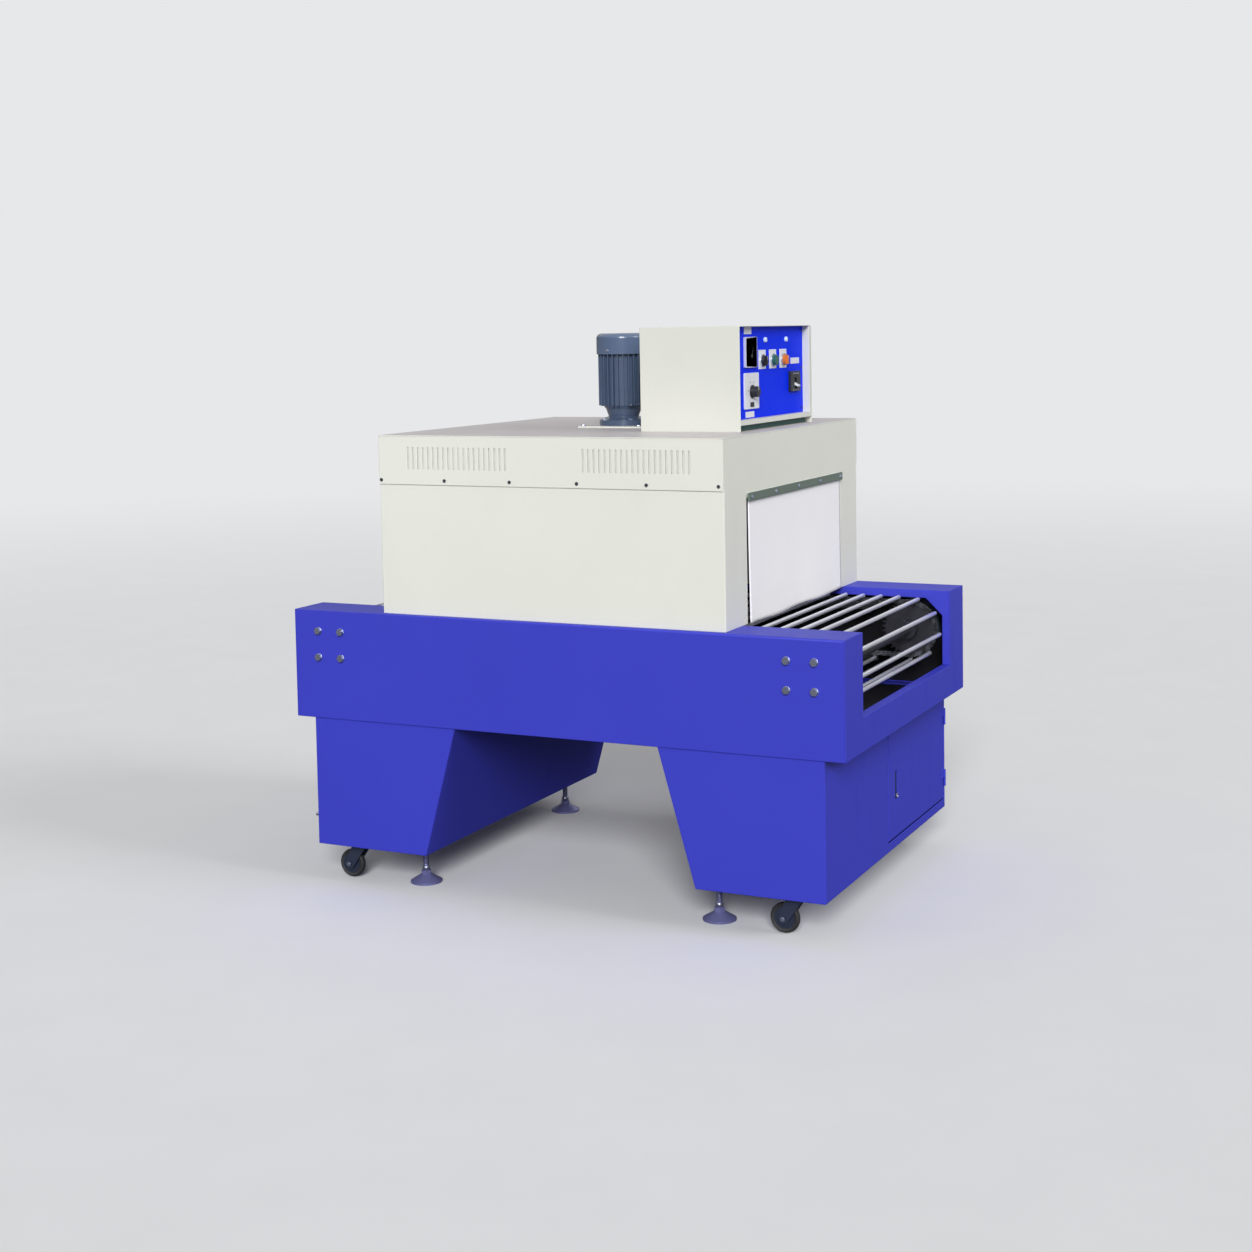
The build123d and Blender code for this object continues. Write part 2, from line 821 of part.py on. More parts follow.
def caster_wheel(x, y):
    """A wheel with a rounded tyre, recessed sides and a hub that meets the fork's legs."""
    axle_x = x - caster_trail
    tyre = wheel_diameter / 2
    half = wheel_width / 2
    with BuildPart() as wheel:
        with BuildSketch(Plane(origin=(axle_x, y, axle_level), x_dir=(0, 0, 1), z_dir=(1, 0, 0))):
            with BuildLine():
                Polyline(
                    (axle_diameter / 2 + axle_play, half),
                    (wheel_hub_diameter / 2, half),
                    (wheel_hub_diameter / 2, half - wheel_recess),
                    (wheel_rim_diameter / 2, half - wheel_recess),
                    (wheel_rim_diameter / 2, half - wheel_shoulder),
                    (tyre - wheel_shoulder, half - wheel_shoulder / 2),
                )
                ThreePointArc(
                    (tyre - wheel_shoulder, half - wheel_shoulder / 2),
                    (tyre, 0),
                    (tyre - wheel_shoulder, -half + wheel_shoulder / 2),
                )
                Polyline(
                    (tyre - wheel_shoulder, -half + wheel_shoulder / 2),
                    (wheel_rim_diameter / 2, -half + wheel_shoulder),
                    (wheel_rim_diameter / 2, -half + wheel_recess),
                    (wheel_hub_diameter / 2, -half + wheel_recess),
                    (wheel_hub_diameter / 2, -half),
                    (axle_diameter / 2 + axle_play, -half),
                    (axle_diameter / 2 + axle_play, half),
                )
            make_face()
        revolve(axis=Axis((axle_x, y, axle_level), (0, 1, 0)))
    return wheel.part


for corner, (x, y) in corners.items():
    keep(caster_fork(x, y), f"caster_fork_{corner}")
    keep(caster_wheel(x, y), f"caster_wheel_{corner}")


# Tunnel: insulated side walls and ceiling between two end frames
wall_right = tunnel_right - end_frame_depth
wall_left = tunnel_left + end_frame_depth
wall_outer = tunnel_half - skin
wall_skin = wall_outer - skin
with BuildPart() as tunnel_walls:
    for side in (-1, 1):
        with BuildSketch(Plane.XY.offset(deck_height)):
            with Locations((tunnel_middle, side * (wall_skin + mouth_half) / 2)):
                Rectangle(wall_right - wall_left, wall_skin - mouth_half)
            with Locations((tunnel_middle, side * (wall_outer + wall_skin) / 2)):
                Rectangle(tunnel_length, skin)
        extrude(amount=seam_level - deck_height)
keep(tunnel_walls.part, "tunnel_walls")

with BuildPart() as tunnel_ceiling:
    with BuildSketch(Plane.XY.offset(mouth_top)):
        with Locations((tunnel_middle, 0)):
            Rectangle(wall_right - wall_left, 2 * mouth_half)
    extrude(amount=seam_level - mouth_top)
keep(tunnel_ceiling.part, "tunnel_ceiling")


def end_frame(outer, depth):
    """The wall round one mouth of the tunnel, wider over the seam by the side sheets."""
    with BuildPart() as frame:
        with BuildSketch(Plane.YZ.offset(outer)):
            with Locations((0, seam_level)):
                Rectangle(
                    2 * wall_outer,
                    roof_level - skin - seam_level,
                    align=(Align.CENTER, Align.MIN),
                )
            with Locations((0, deck_height)):
                Rectangle(2 * wall_skin, hood_seam, align=(Align.CENTER, Align.MIN))
                Rectangle(
                    mouth_width, mouth_height, align=(Align.CENTER, Align.MIN), mode=Mode.SUBTRACT
                )
        extrude(amount=depth)
    return frame.part


keep(end_frame(tunnel_right, -end_frame_depth), "end_frame_right")
keep(end_frame(tunnel_left, end_frame_depth), "end_frame_left")

# Hood: a roof sheet, and a side sheet with two banks of vent slots on each side
bank_centre = (vent_slots - 1) * vent_pitch / 2
bank_places = [
    tunnel_right - vent_end_margin - bank_centre,
    tunnel_left + vent_end_margin + bank_centre,
]
vent_level = seam_level + vent_middle
with BuildPart() as hood_sides:
    for side in (-1, 1):
        with BuildSketch(Plane.XZ.offset(-side * wall_outer)):
            with Locations((tunnel_middle, seam_level - hood_lap)):
                Rectangle(
                    tunnel_length,
                    roof_level - skin - seam_level + hood_lap,
                    align=(Align.CENTER, Align.MIN),
                )
            with Locations(*[(x, vent_level) for x in bank_places]):
                with GridLocations(vent_pitch, vent_pitch, vent_slots, 1):
                    Rectangle(vent_slot_width, vent_slot_height, mode=Mode.SUBTRACT)
        extrude(amount=-side * skin)
keep(hood_sides.part, "hood_sides")

with BuildPart() as hood_roof:
    with BuildSketch(Plane.XY.offset(roof_level)):
        with Locations((tunnel_middle, 0)):
            Rectangle(tunnel_length, tunnel_width)
    extrude(amount=-skin)
keep(hood_roof.part, "hood_roof")

# Curtains over the mouths, each clamped under a strip
strip_top = mouth_top + strip_height - strip_below_mouth_top
curtain_bottom = shaft_level + rod_radius + rod_diameter / 2 + curtain_bottom_gap
curtain_height = strip_top - curtain_play - curtain_bottom


def curtain(face, outward):
    """A flat stand-in for one curtain, hanging just off the outside of its end frame."""
    with BuildPart() as sheet_part:
        with BuildSketch(Plane.YZ.offset(face + outward * curtain_play)):
            with Locations((0, curtain_bottom)):
                Rectangle(
                    mouth_width - 2 * curtain_side_gap,
                    curtain_height,
                    align=(Align.CENTER, Align.MIN),
                )
        extrude(amount=outward * curtain_thickness)
    return sheet_part.part


keep(curtain(tunnel_right, 1), "curtain_right")
keep(curtain(tunnel_left, -1), "curtain_left")

strip_offset = 2 * curtain_play + curtain_thickness
with BuildPart() as curtain_strips:
    for face, outward in ((tunnel_right, 1), (tunnel_left, -1)):
        with BuildSketch(Plane.YZ.offset(face + outward * strip_offset)):
            with Locations((0, strip_top)):
                Rectangle(mouth_width, strip_height, align=(Align.CENTER, Align.MAX))
        extrude(amount=outward * strip_thickness)
keep(curtain_strips.part, "curtain_strips")


# Fan motor: it stands on its flange, with a ribbed barrel under the fan cowl
motor_x = tunnel_middle + motor_shift
with BuildPart() as motor_plate:
    with BuildSketch(Plane(origin=(motor_x, 0, roof_level))):
        RectangleRounded(motor_plate_size, motor_plate_size, motor_plate_corner)
    extrude(amount=motor_plate_thickness)
keep(motor_plate.part, "motor_plate")

motor_base = roof_level + motor_plate_thickness
bell_base = motor_base + motor_foot_thickness
barrel_base = bell_base + motor_bell_height
barrel_top = barrel_base + motor_barrel_height
with BuildPart() as motor_body:
    with BuildSketch(Plane(origin=(motor_x, 0, motor_base), x_dir=(1, 0, 0), z_dir=(0, -1, 0))):
        with BuildLine():
            Polyline(
                (0, 0),
                (motor_foot_diameter / 2, 0),
                (motor_foot_diameter / 2, motor_foot_thickness),
                (motor_neck_diameter / 2, motor_foot_thickness + motor_neck_height),
                (motor_bell_diameter / 2, motor_foot_thickness + motor_bell_shoulder),
                (motor_barrel_diameter / 2, motor_foot_thickness + motor_bell_height),
                (motor_barrel_diameter / 2, barrel_top - motor_base),
                (0, barrel_top - motor_base),
                close=True,
            )
        make_face()
    revolve(axis=Axis((motor_x, 0, motor_base), (0, 0, 1)))
    with BuildSketch(Plane(origin=(motor_x, 0, barrel_base))):
        with PolarLocations(motor_barrel_diameter / 2, motor_fins):
            Rectangle(2 * motor_fin_height, motor_fin_thickness)
        Circle(motor_barrel_diameter / 2 - motor_fin_root, mode=Mode.SUBTRACT)
    extrude(amount=motor_barrel_height)
    with BuildSketch(Plane(origin=(motor_x, 0, barrel_base + motor_barrel_height / 2))):
        with Locations((0, motor_barrel_diameter / 2)):
            Rectangle(
                terminal_box_width,
                motor_fin_height + terminal_box_depth,
                align=(Align.CENTER, Align.MIN),
            )
    extrude(amount=terminal_box_height / 2, both=True)
    with BuildSketch(Plane(origin=(motor_x, 0, barrel_top))):
        Circle(fan_hub_diameter / 2)
    extrude(amount=fan_hub_height)
    with BuildSketch(Plane(origin=(motor_x, 0, barrel_top + fan_blade_lift))):
        with PolarLocations(0, fan_blades):
            Rectangle(fan_blade_reach, fan_blade_thickness, align=(Align.MIN, Align.CENTER))
    extrude(amount=fan_blade_height)
keep(motor_body.part, "motor_body")

with BuildPart() as fan_cowl:
    with BuildSketch(Plane(origin=(motor_x, 0, barrel_top), x_dir=(1, 0, 0), z_dir=(0, -1, 0))):
        with BuildLine():
            base = Line((0, 0), (cowl_diameter / 2, 0))
            wall = Line(base @ 1, (cowl_diameter / 2, cowl_height - cowl_shoulder))
            shoulder = TangentArc(
                wall @ 1,
                (cowl_diameter / 2 - cowl_shoulder, cowl_height),
                tangent=wall % 1,
            )
            Polyline(shoulder @ 1, (0, cowl_height), (0, 0))
        make_face()
    revolve(axis=Axis((motor_x, 0, barrel_top), (0, 0, 1)))
    with BuildSketch(Plane(origin=(motor_x, 0, barrel_top))):
        Circle(cowl_floor_bore / 2)
    extrude(amount=cowl_wall, mode=Mode.SUBTRACT)
    with BuildSketch(Plane(origin=(motor_x, 0, barrel_top + cowl_wall))):
        Circle(cowl_diameter / 2 - cowl_wall)
    extrude(amount=cowl_height - cowl_shoulder - cowl_wall, mode=Mode.SUBTRACT)
    with BuildSketch(Plane(origin=(motor_x, 0, barrel_top + cowl_height - cowl_shoulder))):
        Circle(cowl_diameter / 2 - cowl_shoulder)
    extrude(amount=cowl_shoulder - cowl_wall, mode=Mode.SUBTRACT)
    with BuildSketch(Plane(origin=(motor_x, 0, barrel_top + cowl_height))):
        with PolarLocations((grille_inner_radius + grille_outer_radius) / 2, grille_slots):
            SlotOverall(grille_outer_radius - grille_inner_radius, grille_slot_width)
    extrude(amount=-cowl_wall, mode=Mode.SUBTRACT)
keep(fan_cowl.part, "fan_cowl")


# Control box: a sheet box whose front is sunk behind a rim
box_front = tunnel_right - box_from_tunnel_end
box_back = box_front - box_length
panel_face = box_front - box_recess
panel_low = roof_level + box_sill
panel_high = roof_level + box_height - box_wall
panel_near = box_shift - box_width / 2 + box_wall
panel_far = box_shift + box_width / 2 - box_far_border
with BuildPart() as control_box:
    with BuildSketch(Plane.YZ.offset(box_back)):
        with Locations((box_shift, roof_level)):
            Rectangle(box_width, box_height, align=(Align.CENTER, Align.MIN))
    extrude(amount=box_length)
    with BuildSketch(Plane.YZ.offset(box_back + box_wall)):
        with Locations(((panel_near + panel_far) / 2, (panel_low + panel_high) / 2)):
            Rectangle(panel_far - panel_near, panel_high - panel_low)
    extrude(amount=box_length, mode=Mode.SUBTRACT)
    with BuildSketch(Plane.YZ.offset(box_front)):
        with Locations((box_shift, roof_level)):
            Rectangle(box_width - 2 * box_wall, toe_height, align=(Align.CENTER, Align.MIN))
    extrude(amount=-toe_depth, mode=Mode.SUBTRACT)
keep(control_box.part, "control_box")

with BuildPart() as control_panel:
    with BuildSketch(Plane.YZ.offset(panel_face)):
        with Locations(((panel_near + panel_far) / 2, (panel_low + panel_high) / 2)):
            Rectangle(panel_far - panel_near, panel_high - panel_low)
    extrude(amount=-panel_thickness)
keep(control_panel.part, "control_panel")

panel_middle = roof_level + box_height / 2


def on_panel(across, up, proud=0.0):
    """A plane on the panel's face, looking out of it."""
    return Plane(
        origin=(panel_face + proud, box_shift + across, panel_middle + up),
        x_dir=(0, 1, 0),
        z_dir=(1, 0, 0),
    )


with BuildPart() as temperature_controller:
    with BuildSketch(on_panel(controller_across, controller_up)):
        RectangleRounded(controller_width, controller_height, controller_corner)
    extrude(amount=controller_proud)
    with BuildSketch(on_panel(controller_across, controller_up, controller_proud)):
        RectangleRounded(
            controller_width - 2 * controller_bezel,
            controller_height - 2 * controller_bezel,
            controller_corner,
        )
    extrude(amount=-controller_sunk, mode=Mode.SUBTRACT)
keep(temperature_controller.part, "temperature_controller")

with BuildPart() as speed_controller:
    with BuildSketch(on_panel(speed_plate_across, speed_plate_up)):
        RectangleRounded(speed_plate_width, speed_plate_height, controller_corner)
    extrude(amount=speed_plate_proud)
keep(speed_controller.part, "speed_controller")

with BuildPart() as speed_knob:
    knob_base = speed_plate_proud + control_play
    with BuildSketch(on_panel(speed_plate_across, speed_plate_up - speed_knob_down, knob_base)):
        Circle(speed_knob_skirt / 2)
    extrude(amount=speed_knob_skirt_height)
    knob_seat = knob_base + speed_knob_skirt_height
    with BuildSketch(on_panel(speed_plate_across, speed_plate_up - speed_knob_down, knob_seat)):
        Circle(speed_knob_diameter / 2)
    extrude(amount=speed_knob_height, taper=knob_taper)
keep(speed_knob.part, "speed_knob")

# Switches: each turns or slides in its own bezel
switch_places = [switch_across + switch_pitch * k for k in (-1, 0, 1)]
switch_names = ["fan_switch", "start_button", "heater_switch"]
with BuildPart() as switch_bezels:
    for across in switch_places:
        with BuildSketch(on_panel(across, switch_up)):
            Circle(bezel_diameter / 2)
            Circle(switch_diameter / 2 + bezel_play, mode=Mode.SUBTRACT)
        extrude(amount=bezel_height)
keep(switch_bezels.part, "switch_bezels")

for name, across in zip(switch_names, switch_places):
    pushed = name == "start_button"
    seat = control_play + (button_travel if pushed else 0)
    with BuildPart() as switch:
        with BuildSketch(on_panel(across, switch_up, seat)):
            Circle(switch_diameter / 2)
        extrude(amount=button_height if pushed else switch_height)
        if not pushed:
            with BuildSketch(on_panel(across, switch_up, seat + switch_height)):
                Rectangle(grip_width, switch_diameter - grip_width / 2)
            extrude(amount=grip_height)
    keep(switch.part, name)

with BuildPart() as pilot_lamps:
    for across in (switch_places[0] + lamp_shift, switch_places[2] + lamp_shift):
        with BuildSketch(on_panel(across, lamp_up)):
            Circle(lamp_diameter / 2)
        extrude(amount=lamp_height)
    fillet(pilot_lamps.edges().group_by(Axis.X)[-1], lamp_round)
keep(pilot_lamps.part, "pilot_lamps")

# Breaker: a moulded block with a slot for its lever, placed from the panel's far edge
breaker_across = panel_far - breaker_from_panel_edge - box_shift
slot_up = breaker_up - breaker_slot_down
with BuildPart() as breaker:
    with BuildSketch(on_panel(breaker_across, breaker_up)):
        Rectangle(breaker_width, breaker_height)
    extrude(amount=breaker_proud)
    with BuildSketch(on_panel(breaker_across, slot_up, breaker_proud)):
        Rectangle(breaker_slot_width, breaker_slot_height)
    extrude(amount=-breaker_slot_depth, mode=Mode.SUBTRACT)
keep(breaker.part, "breaker")

lever_pivot = breaker_proud - breaker_slot_depth + breaker_hub_radius + control_play
with BuildPart() as breaker_lever:
    lever_plane = Plane(
        origin=(
            panel_face + lever_pivot,
            box_shift + breaker_across - breaker_lever_width / 2,
            panel_middle + slot_up,
        ),
        x_dir=(1, 0, 0),
        z_dir=(0, -1, 0),
    )
    with BuildSketch(lever_plane):
        Circle(breaker_hub_radius)
        with Locations(Rotation(0, 0, -breaker_rest_angle)):
            Rectangle(
                breaker_lever_reach, breaker_lever_thickness, align=(Align.MIN, Align.CENTER)
            )
    extrude(amount=-breaker_lever_width)
keep(breaker_lever.part, "breaker_lever")
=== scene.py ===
import math

import bmesh
import bpy
from bpy.props import FloatProperty, FloatVectorProperty, IntProperty, PointerProperty
from bpy.types import Operator, Panel, PropertyGroup
from mathutils import Matrix, Vector


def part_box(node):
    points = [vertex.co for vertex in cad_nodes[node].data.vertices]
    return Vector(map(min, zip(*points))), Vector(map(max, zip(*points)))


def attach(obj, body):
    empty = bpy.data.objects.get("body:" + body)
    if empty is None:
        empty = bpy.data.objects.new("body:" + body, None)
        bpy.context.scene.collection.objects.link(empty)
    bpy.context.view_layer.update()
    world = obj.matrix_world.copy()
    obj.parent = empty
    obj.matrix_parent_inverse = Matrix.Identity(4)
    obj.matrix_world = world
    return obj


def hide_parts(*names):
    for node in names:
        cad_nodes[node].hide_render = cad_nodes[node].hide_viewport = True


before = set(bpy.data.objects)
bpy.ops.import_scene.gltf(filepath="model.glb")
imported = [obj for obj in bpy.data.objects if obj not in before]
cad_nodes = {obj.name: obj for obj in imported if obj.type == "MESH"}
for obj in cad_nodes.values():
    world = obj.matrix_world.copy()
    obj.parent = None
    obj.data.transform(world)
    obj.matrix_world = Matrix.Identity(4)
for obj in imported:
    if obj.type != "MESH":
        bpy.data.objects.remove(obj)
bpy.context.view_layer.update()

bl_info = {
    "name": "Heat Shrink Tunnel",
    "version": (1, 0, 0),
    "blender": (4, 5, 0),
    "location": "3D View > Sidebar > Shrink Tunnel",
    "description": "Finishes, fasteners, chains, curtains and stage for a heat shrink tunnel",
    "category": "Object",
}


# ---------------------------------------------------------------- colours and sizes


def colour_property(label, text, red, green, blue):
    """A colour as a user reads it from a screen, 0 to 255 in each channel."""
    return FloatVectorProperty(
        name=label,
        description=text,
        subtype="COLOR_GAMMA",
        size=3,
        min=0.0,
        max=1.0,
        default=(red / 255, green / 255, blue / 255),
    )


def length_property(label, text, metres):
    """A length in metres."""
    return FloatProperty(name=label, description=text, default=metres, unit="LENGTH", precision=5)


class PaintColours(PropertyGroup):
    """Colours of the painted sheet metal and castings."""

    frame_blue: colour_property("Frame blue", "Conveyor frame and pedestals", 58, 63, 190)
    tunnel_cream: colour_property("Tunnel cream", "Tunnel and hood", 226, 227, 218)
    box_cream: colour_property("Box cream", "Control box", 214, 215, 207)
    # Roof shade is painted shade with a mauve painted reflection, for the upward faces of the cream
    # paints.
    roof_shade: colour_property("Roof dust", "Painted shade that dulls the upward faces", 182, 172, 182)
    panel_blue: colour_property("Panel blue", "Face of the control panel", 0, 46, 238)
    motor_slate: colour_property("Motor slate", "Fan motor", 72, 87, 112)
    # Rail black is painted shade: the pan and rails are made near-black so the trough under the rods
    # reads dark.
    shaded_rail_black: colour_property("Rail black", "Rails and pan under the rods", 24, 24, 30)
    casting_blue: colour_property("Casting blue", "Bearing units", 78, 92, 104)


class FittingColours(PropertyGroup):
    """Colours of the bright metal, plastic, rubber and cloth."""

    rod_steel: colour_property("Rod steel", "Carrying rods", 236, 238, 250)
    zinc: colour_property("Zinc", "Bolts, screws and washers", 164, 170, 192)
    chain_steel: colour_property("Chain steel", "Oiled chains", 96, 98, 104)
    # Shaft steel is painted shade: shafts and sprockets made near-black so they sink into the
    # trough's shade.
    shaft_steel: colour_property("Shaft steel", "Shafts and sprockets", 58, 58, 66)
    foot_blue: colour_property("Foot metal", "Levelling feet", 122, 124, 176)
    caster_grey: colour_property("Caster grey", "Forks, plates and hubs", 84, 94, 120)
    tyre_black: colour_property("Tyre black", "Caster tyres", 40, 40, 44)
    curtain_white: colour_property("Curtain white", "Curtain cloth", 250, 249, 253)
    strip_green: colour_property("Strip green", "Clamping strips", 92, 108, 98)
    # Shadow green is a painted shadow under the box's front.
    shadow_green: colour_property("Shadow green", "Painted shadow strip under the box's front", 64, 96, 92)
    plate_white: colour_property("Plate white", "Legend plates and controller faces", 226, 228, 236)
    controller_grey: colour_property("Controller grey", "Temperature controller", 196, 198, 218)
    control_black: colour_property("Control black", "Knobs, switches and breaker", 28, 30, 36)
    button_green: colour_property("Button green", "Push button", 34, 92, 84)
    knob_orange: colour_property("Knob orange", "Heater switch", 206, 116, 48)
    lamp_white: colour_property("Lamp white", "Pilot lamps", 214, 232, 250)
    board_beige: colour_property("Board beige", "Heat-proof board behind the vents", 204, 202, 190)


class FastenerSizes(PropertyGroup):
    """Sizes of the screws, nuts and threads."""

    hood_screw: length_property("Hood screw", "Head radius of the hood's screws", 0.0046)
    strip_screw: length_property("Strip screw", "Head radius of the strips' screws", 0.0050)
    small_screw: length_property("Small screw", "Head radius of panel screws", 0.0030)
    motor_bolt: length_property("Motor bolt", "Half the width of the motor's bolt heads", 0.0065)
    thread_pitch: length_property("Thread pitch", "Pitch of the feet's thread", 0.0025)
    thread_depth: length_property("Thread depth", "Height of the feet's thread", 0.0009)
    head_sides: IntProperty(
        name="Head sides", description="Flats round a screw head", default=14, min=6
    )


class ClothSizes(PropertyGroup):
    """How the curtains hang."""

    thickness: length_property("Cloth thickness", "Thickness of the curtain cloth", 0.0011)
    wave: length_property("Wave", "Depth of the waves at the bottom", 0.0042)
    hem_wave: length_property("Hem wave", "How uneven the bottom edge is", 0.0016)


class StageSettings(PropertyGroup):
    """Camera, lamps and floor."""

    camera_place: FloatVectorProperty(
        name="Camera place",
        description="Where the camera stands",
        subtype="TRANSLATION",
        size=3,
        default=(2.1925, -4.5934, 1.4511),
    )
    azimuth: FloatProperty(
        name="Azimuth",
        description="Turn of the view from the front towards the right end",
        subtype="ANGLE",
        default=math.radians(25.757),
    )
    pitch: FloatProperty(
        name="Pitch", description="Tilt of the view down", subtype="ANGLE", default=math.radians(4)
    )
    roll: FloatProperty(
        name="Roll",
        description="Lean of the picture",
        subtype="ANGLE",
        default=math.radians(-1.014),
    )
    lens: FloatProperty(
        name="Lens", description="Focal length on a 36 mm frame", unit="CAMERA", default=54.1
    )
    rise: FloatProperty(
        name="Rise", description="Vertical shift of the frame", default=-0.1301, precision=4
    )
    front_light: FloatProperty(
        name="Front light", description="Strength of the lamp on the near side", default=2.9
    )
    end_light: FloatProperty(
        name="End light", description="Strength of the lamp on the right end", default=0.8
    )
    sky_light: FloatProperty(
        name="Sky light", description="Strength of the even light round it", default=0.27
    )
    floor_radius: length_property("Floor radius", "Radius of the floor", 40.0)


# ------------------------------------------------------------------------ finishes


def linear(colour):
    """A screen colour as scene linear, with alpha."""
    return tuple(((c + 0.055) / 1.055) ** 2.4 if c > 0.04045 else c / 12.92 for c in colour) + (1,)


def shade(colour, factor):
    """A linear colour made lighter or darker."""
    return tuple(min(1.0, c * factor) for c in colour[:3]) + (1,)


class Signal:
    """A value that varies over a surface; arithmetic on it adds Math nodes."""

    def __init__(self, finish, socket):
        self.finish = finish
        self.socket = socket

    def maths(self, operation, first, second):
        return self.finish.node("ShaderNodeMath", {"operation": operation}, {0: first, 1: second})

    def __add__(self, other):
        return self.maths("ADD", self, other)

    def __sub__(self, other):
        return self.maths("SUBTRACT", self, other)

    def __rsub__(self, other):
        return self.maths("SUBTRACT", other, self)

    def __mul__(self, other):
        return self.maths("MULTIPLY", self, other)

    def __truediv__(self, other):
        return self.maths("DIVIDE", self, other)

    def __pow__(self, other):
        return self.maths("POWER", self, other)

    def __gt__(self, other):
        return self.maths("GREATER_THAN", self, other)

    def __lt__(self, other):
        return self.maths("LESS_THAN", self, other)

    __radd__ = __add__
    __rmul__ = __mul__


class Finish:
    """A material made of nodes, on the coordinates of the object."""

    def __init__(self, name):
        self.material = bpy.data.materials.new(name)
        self.material.use_nodes = True
        self.tree = self.material.node_tree
        self.tree.nodes.clear()
        self.place = self.node("ShaderNodeTexCoord", output="Object")

    def node(self, kind, settings=None, inputs=None, output=0):
        """Add a node: its settings first, then the values or links of its sockets."""
        made = self.tree.nodes.new(kind)
        for key, value in (settings or {}).items():
            if key == "stops":
                low, high = made.color_ramp.elements
                (low.position, low.color), (high.position, high.color) = value
            else:
                setattr(made, key, value)
        for key, value in (inputs or {}).items():
            if isinstance(value, Signal):
                self.tree.links.new(value.socket, made.inputs[key])
            else:
                made.inputs[key].default_value = value
        return Signal(self, made.outputs[output]) if made.outputs else None

    def moved(self, location=(0, 0, 0), scale=(1, 1, 1)):
        """The object's coordinates, moved and stretched."""
        return self.node(
            "ShaderNodeMapping", {}, {"Vector": self.place, "Location": location, "Scale": scale}
        )

    def axis(self, name, where=None):
        """One of the object's coordinates."""
        return self.node("ShaderNodeSeparateXYZ", {}, {0: where or self.place}, output=name)

    def facing(self, name):
        """How far the surface faces along one axis."""
        normal = self.node("ShaderNodeNewGeometry", output="Normal")
        return self.axis(name, normal)

    def noise(self, scale, detail=2.0, stretch=(1, 1, 1)):
        """Clouds from 0 to 1."""
        return self.node(
            "ShaderNodeTexNoise",
            {},
            {"Vector": self.moved(scale=stretch), "Scale": scale, "Detail": detail},
        )

    def step(self, signal, low, high):
        """A smooth rise from 0 at low to 1 at high."""
        return self.node(
            "ShaderNodeMapRange",
            {"interpolation_type": "SMOOTHSTEP"},
            {"Value": signal, "From Min": low, "From Max": high},
        )

    def within(self, low, high):
        """1 where the distances from the object's middle planes lie between two corners."""
        away = self.node("ShaderNodeVectorMath", {"operation": "ABSOLUTE"}, {0: self.place})
        mask = 1.0
        for name, least, most in zip("XYZ", low, high):
            distance = self.axis(name, away)
            mask = (distance > least) * (distance < most) * mask
        return mask

    def mix(self, mask, low, high):
        """A colour between two."""
        return self.node(
            "ShaderNodeMix", {"data_type": "RGBA"}, {0: mask, 6: low, 7: high}, output=2
        )

    def edges(self, radius):
        """The rounded normal near edges, and a mask that is 1 on an edge, used for worn edges and for
        painted highlights.
        """
        rounded = self.node("ShaderNodeBevel", {"samples": 6}, {"Radius": radius})
        flat = self.node("ShaderNodeNewGeometry", output="Normal")
        same = self.node(
            "ShaderNodeVectorMath",
            {"operation": "DOT_PRODUCT"},
            {0: rounded, 1: flat},
            output="Value",
        )
        return rounded, self.step(1 - same, 0.02, 0.25)

    def bump(self, height, distance, normal=None):
        """A relief of that height in metres."""
        inputs = {"Height": height, "Distance": distance, "Strength": 1.0}
        if normal:
            inputs["Normal"] = normal
        return self.node("ShaderNodeBump", {}, inputs)

    def surface(self, colour, roughness, normal=None, **constants):
        """Close the material; the constants are sockets that stay the same all over."""
        inputs = {"Base Color": colour, "Roughness": roughness}
        inputs.update({key.replace("_", " "): value for key, value in constants.items()})
        if normal:
            inputs["Normal"] = normal
        shader = self.node("ShaderNodeBsdfPrincipled", {}, inputs)
        self.node("ShaderNodeOutputMaterial", {}, {"Surface": shader})
        return self.material


def powder_coat(name, colour, roughness=0.42, dust=None, wear=0.5, inside=None, specular=0.4):
    """Baked powder paint: an even tone, a fine orange peel and edges rubbed a little pale; a top
    shade gives upward faces painted shade, and an inside box is painted darker as shade.
    """
    finish = Finish(name)
    clouds = finish.noise(1.7, 4.0)
    flecks = finish.noise(620.0, 1.0)
    tone = finish.mix(clouds, shade(colour, 0.93), shade(colour, 1.07))
    tone = finish.mix((flecks > 0.66) * 0.22, tone, shade(colour, 1.3))
    rounded, edge = finish.edges(0.0022)
    rub = edge * finish.step(finish.noise(38.0, 3.0), 0.45, 0.72) * wear
    tone = finish.mix(rub, tone, shade(colour, 1.5))
    smudge = finish.step(finish.noise(9.0, 5.0, (1, 1, 0.35)), 0.55, 0.8)
    tone = finish.mix(smudge * 0.10, tone, shade(colour, 0.82))
    # Painted shade: upward faces turn in patches towards the top shade colour, a darker mauve
    # standing for shade and a painted reflection.
    if dust:
        top_shade_mask = finish.step(finish.facing("Z"), 0.7, 0.95)
        patches = finish.noise(5.0, 4.0) * 0.5 + 0.5
        tone = finish.mix(top_shade_mask * patches * 0.85, tone, dust)
    # Painted shade: inside the given box the tone turns to the shade colour.
    if inside:
        tone = finish.mix(finish.within(*inside[:2]), tone, inside[2])
    peel = finish.noise(310.0, 1.5) + finish.noise(24.0, 2.0) * 0.6
    normal = finish.bump(peel, 0.00012, rounded)
    rough = roughness + clouds * 0.08 + rub * 0.2 + smudge * 0.08
    return finish.surface(tone, rough, normal, Specular_IOR_Level=specular)


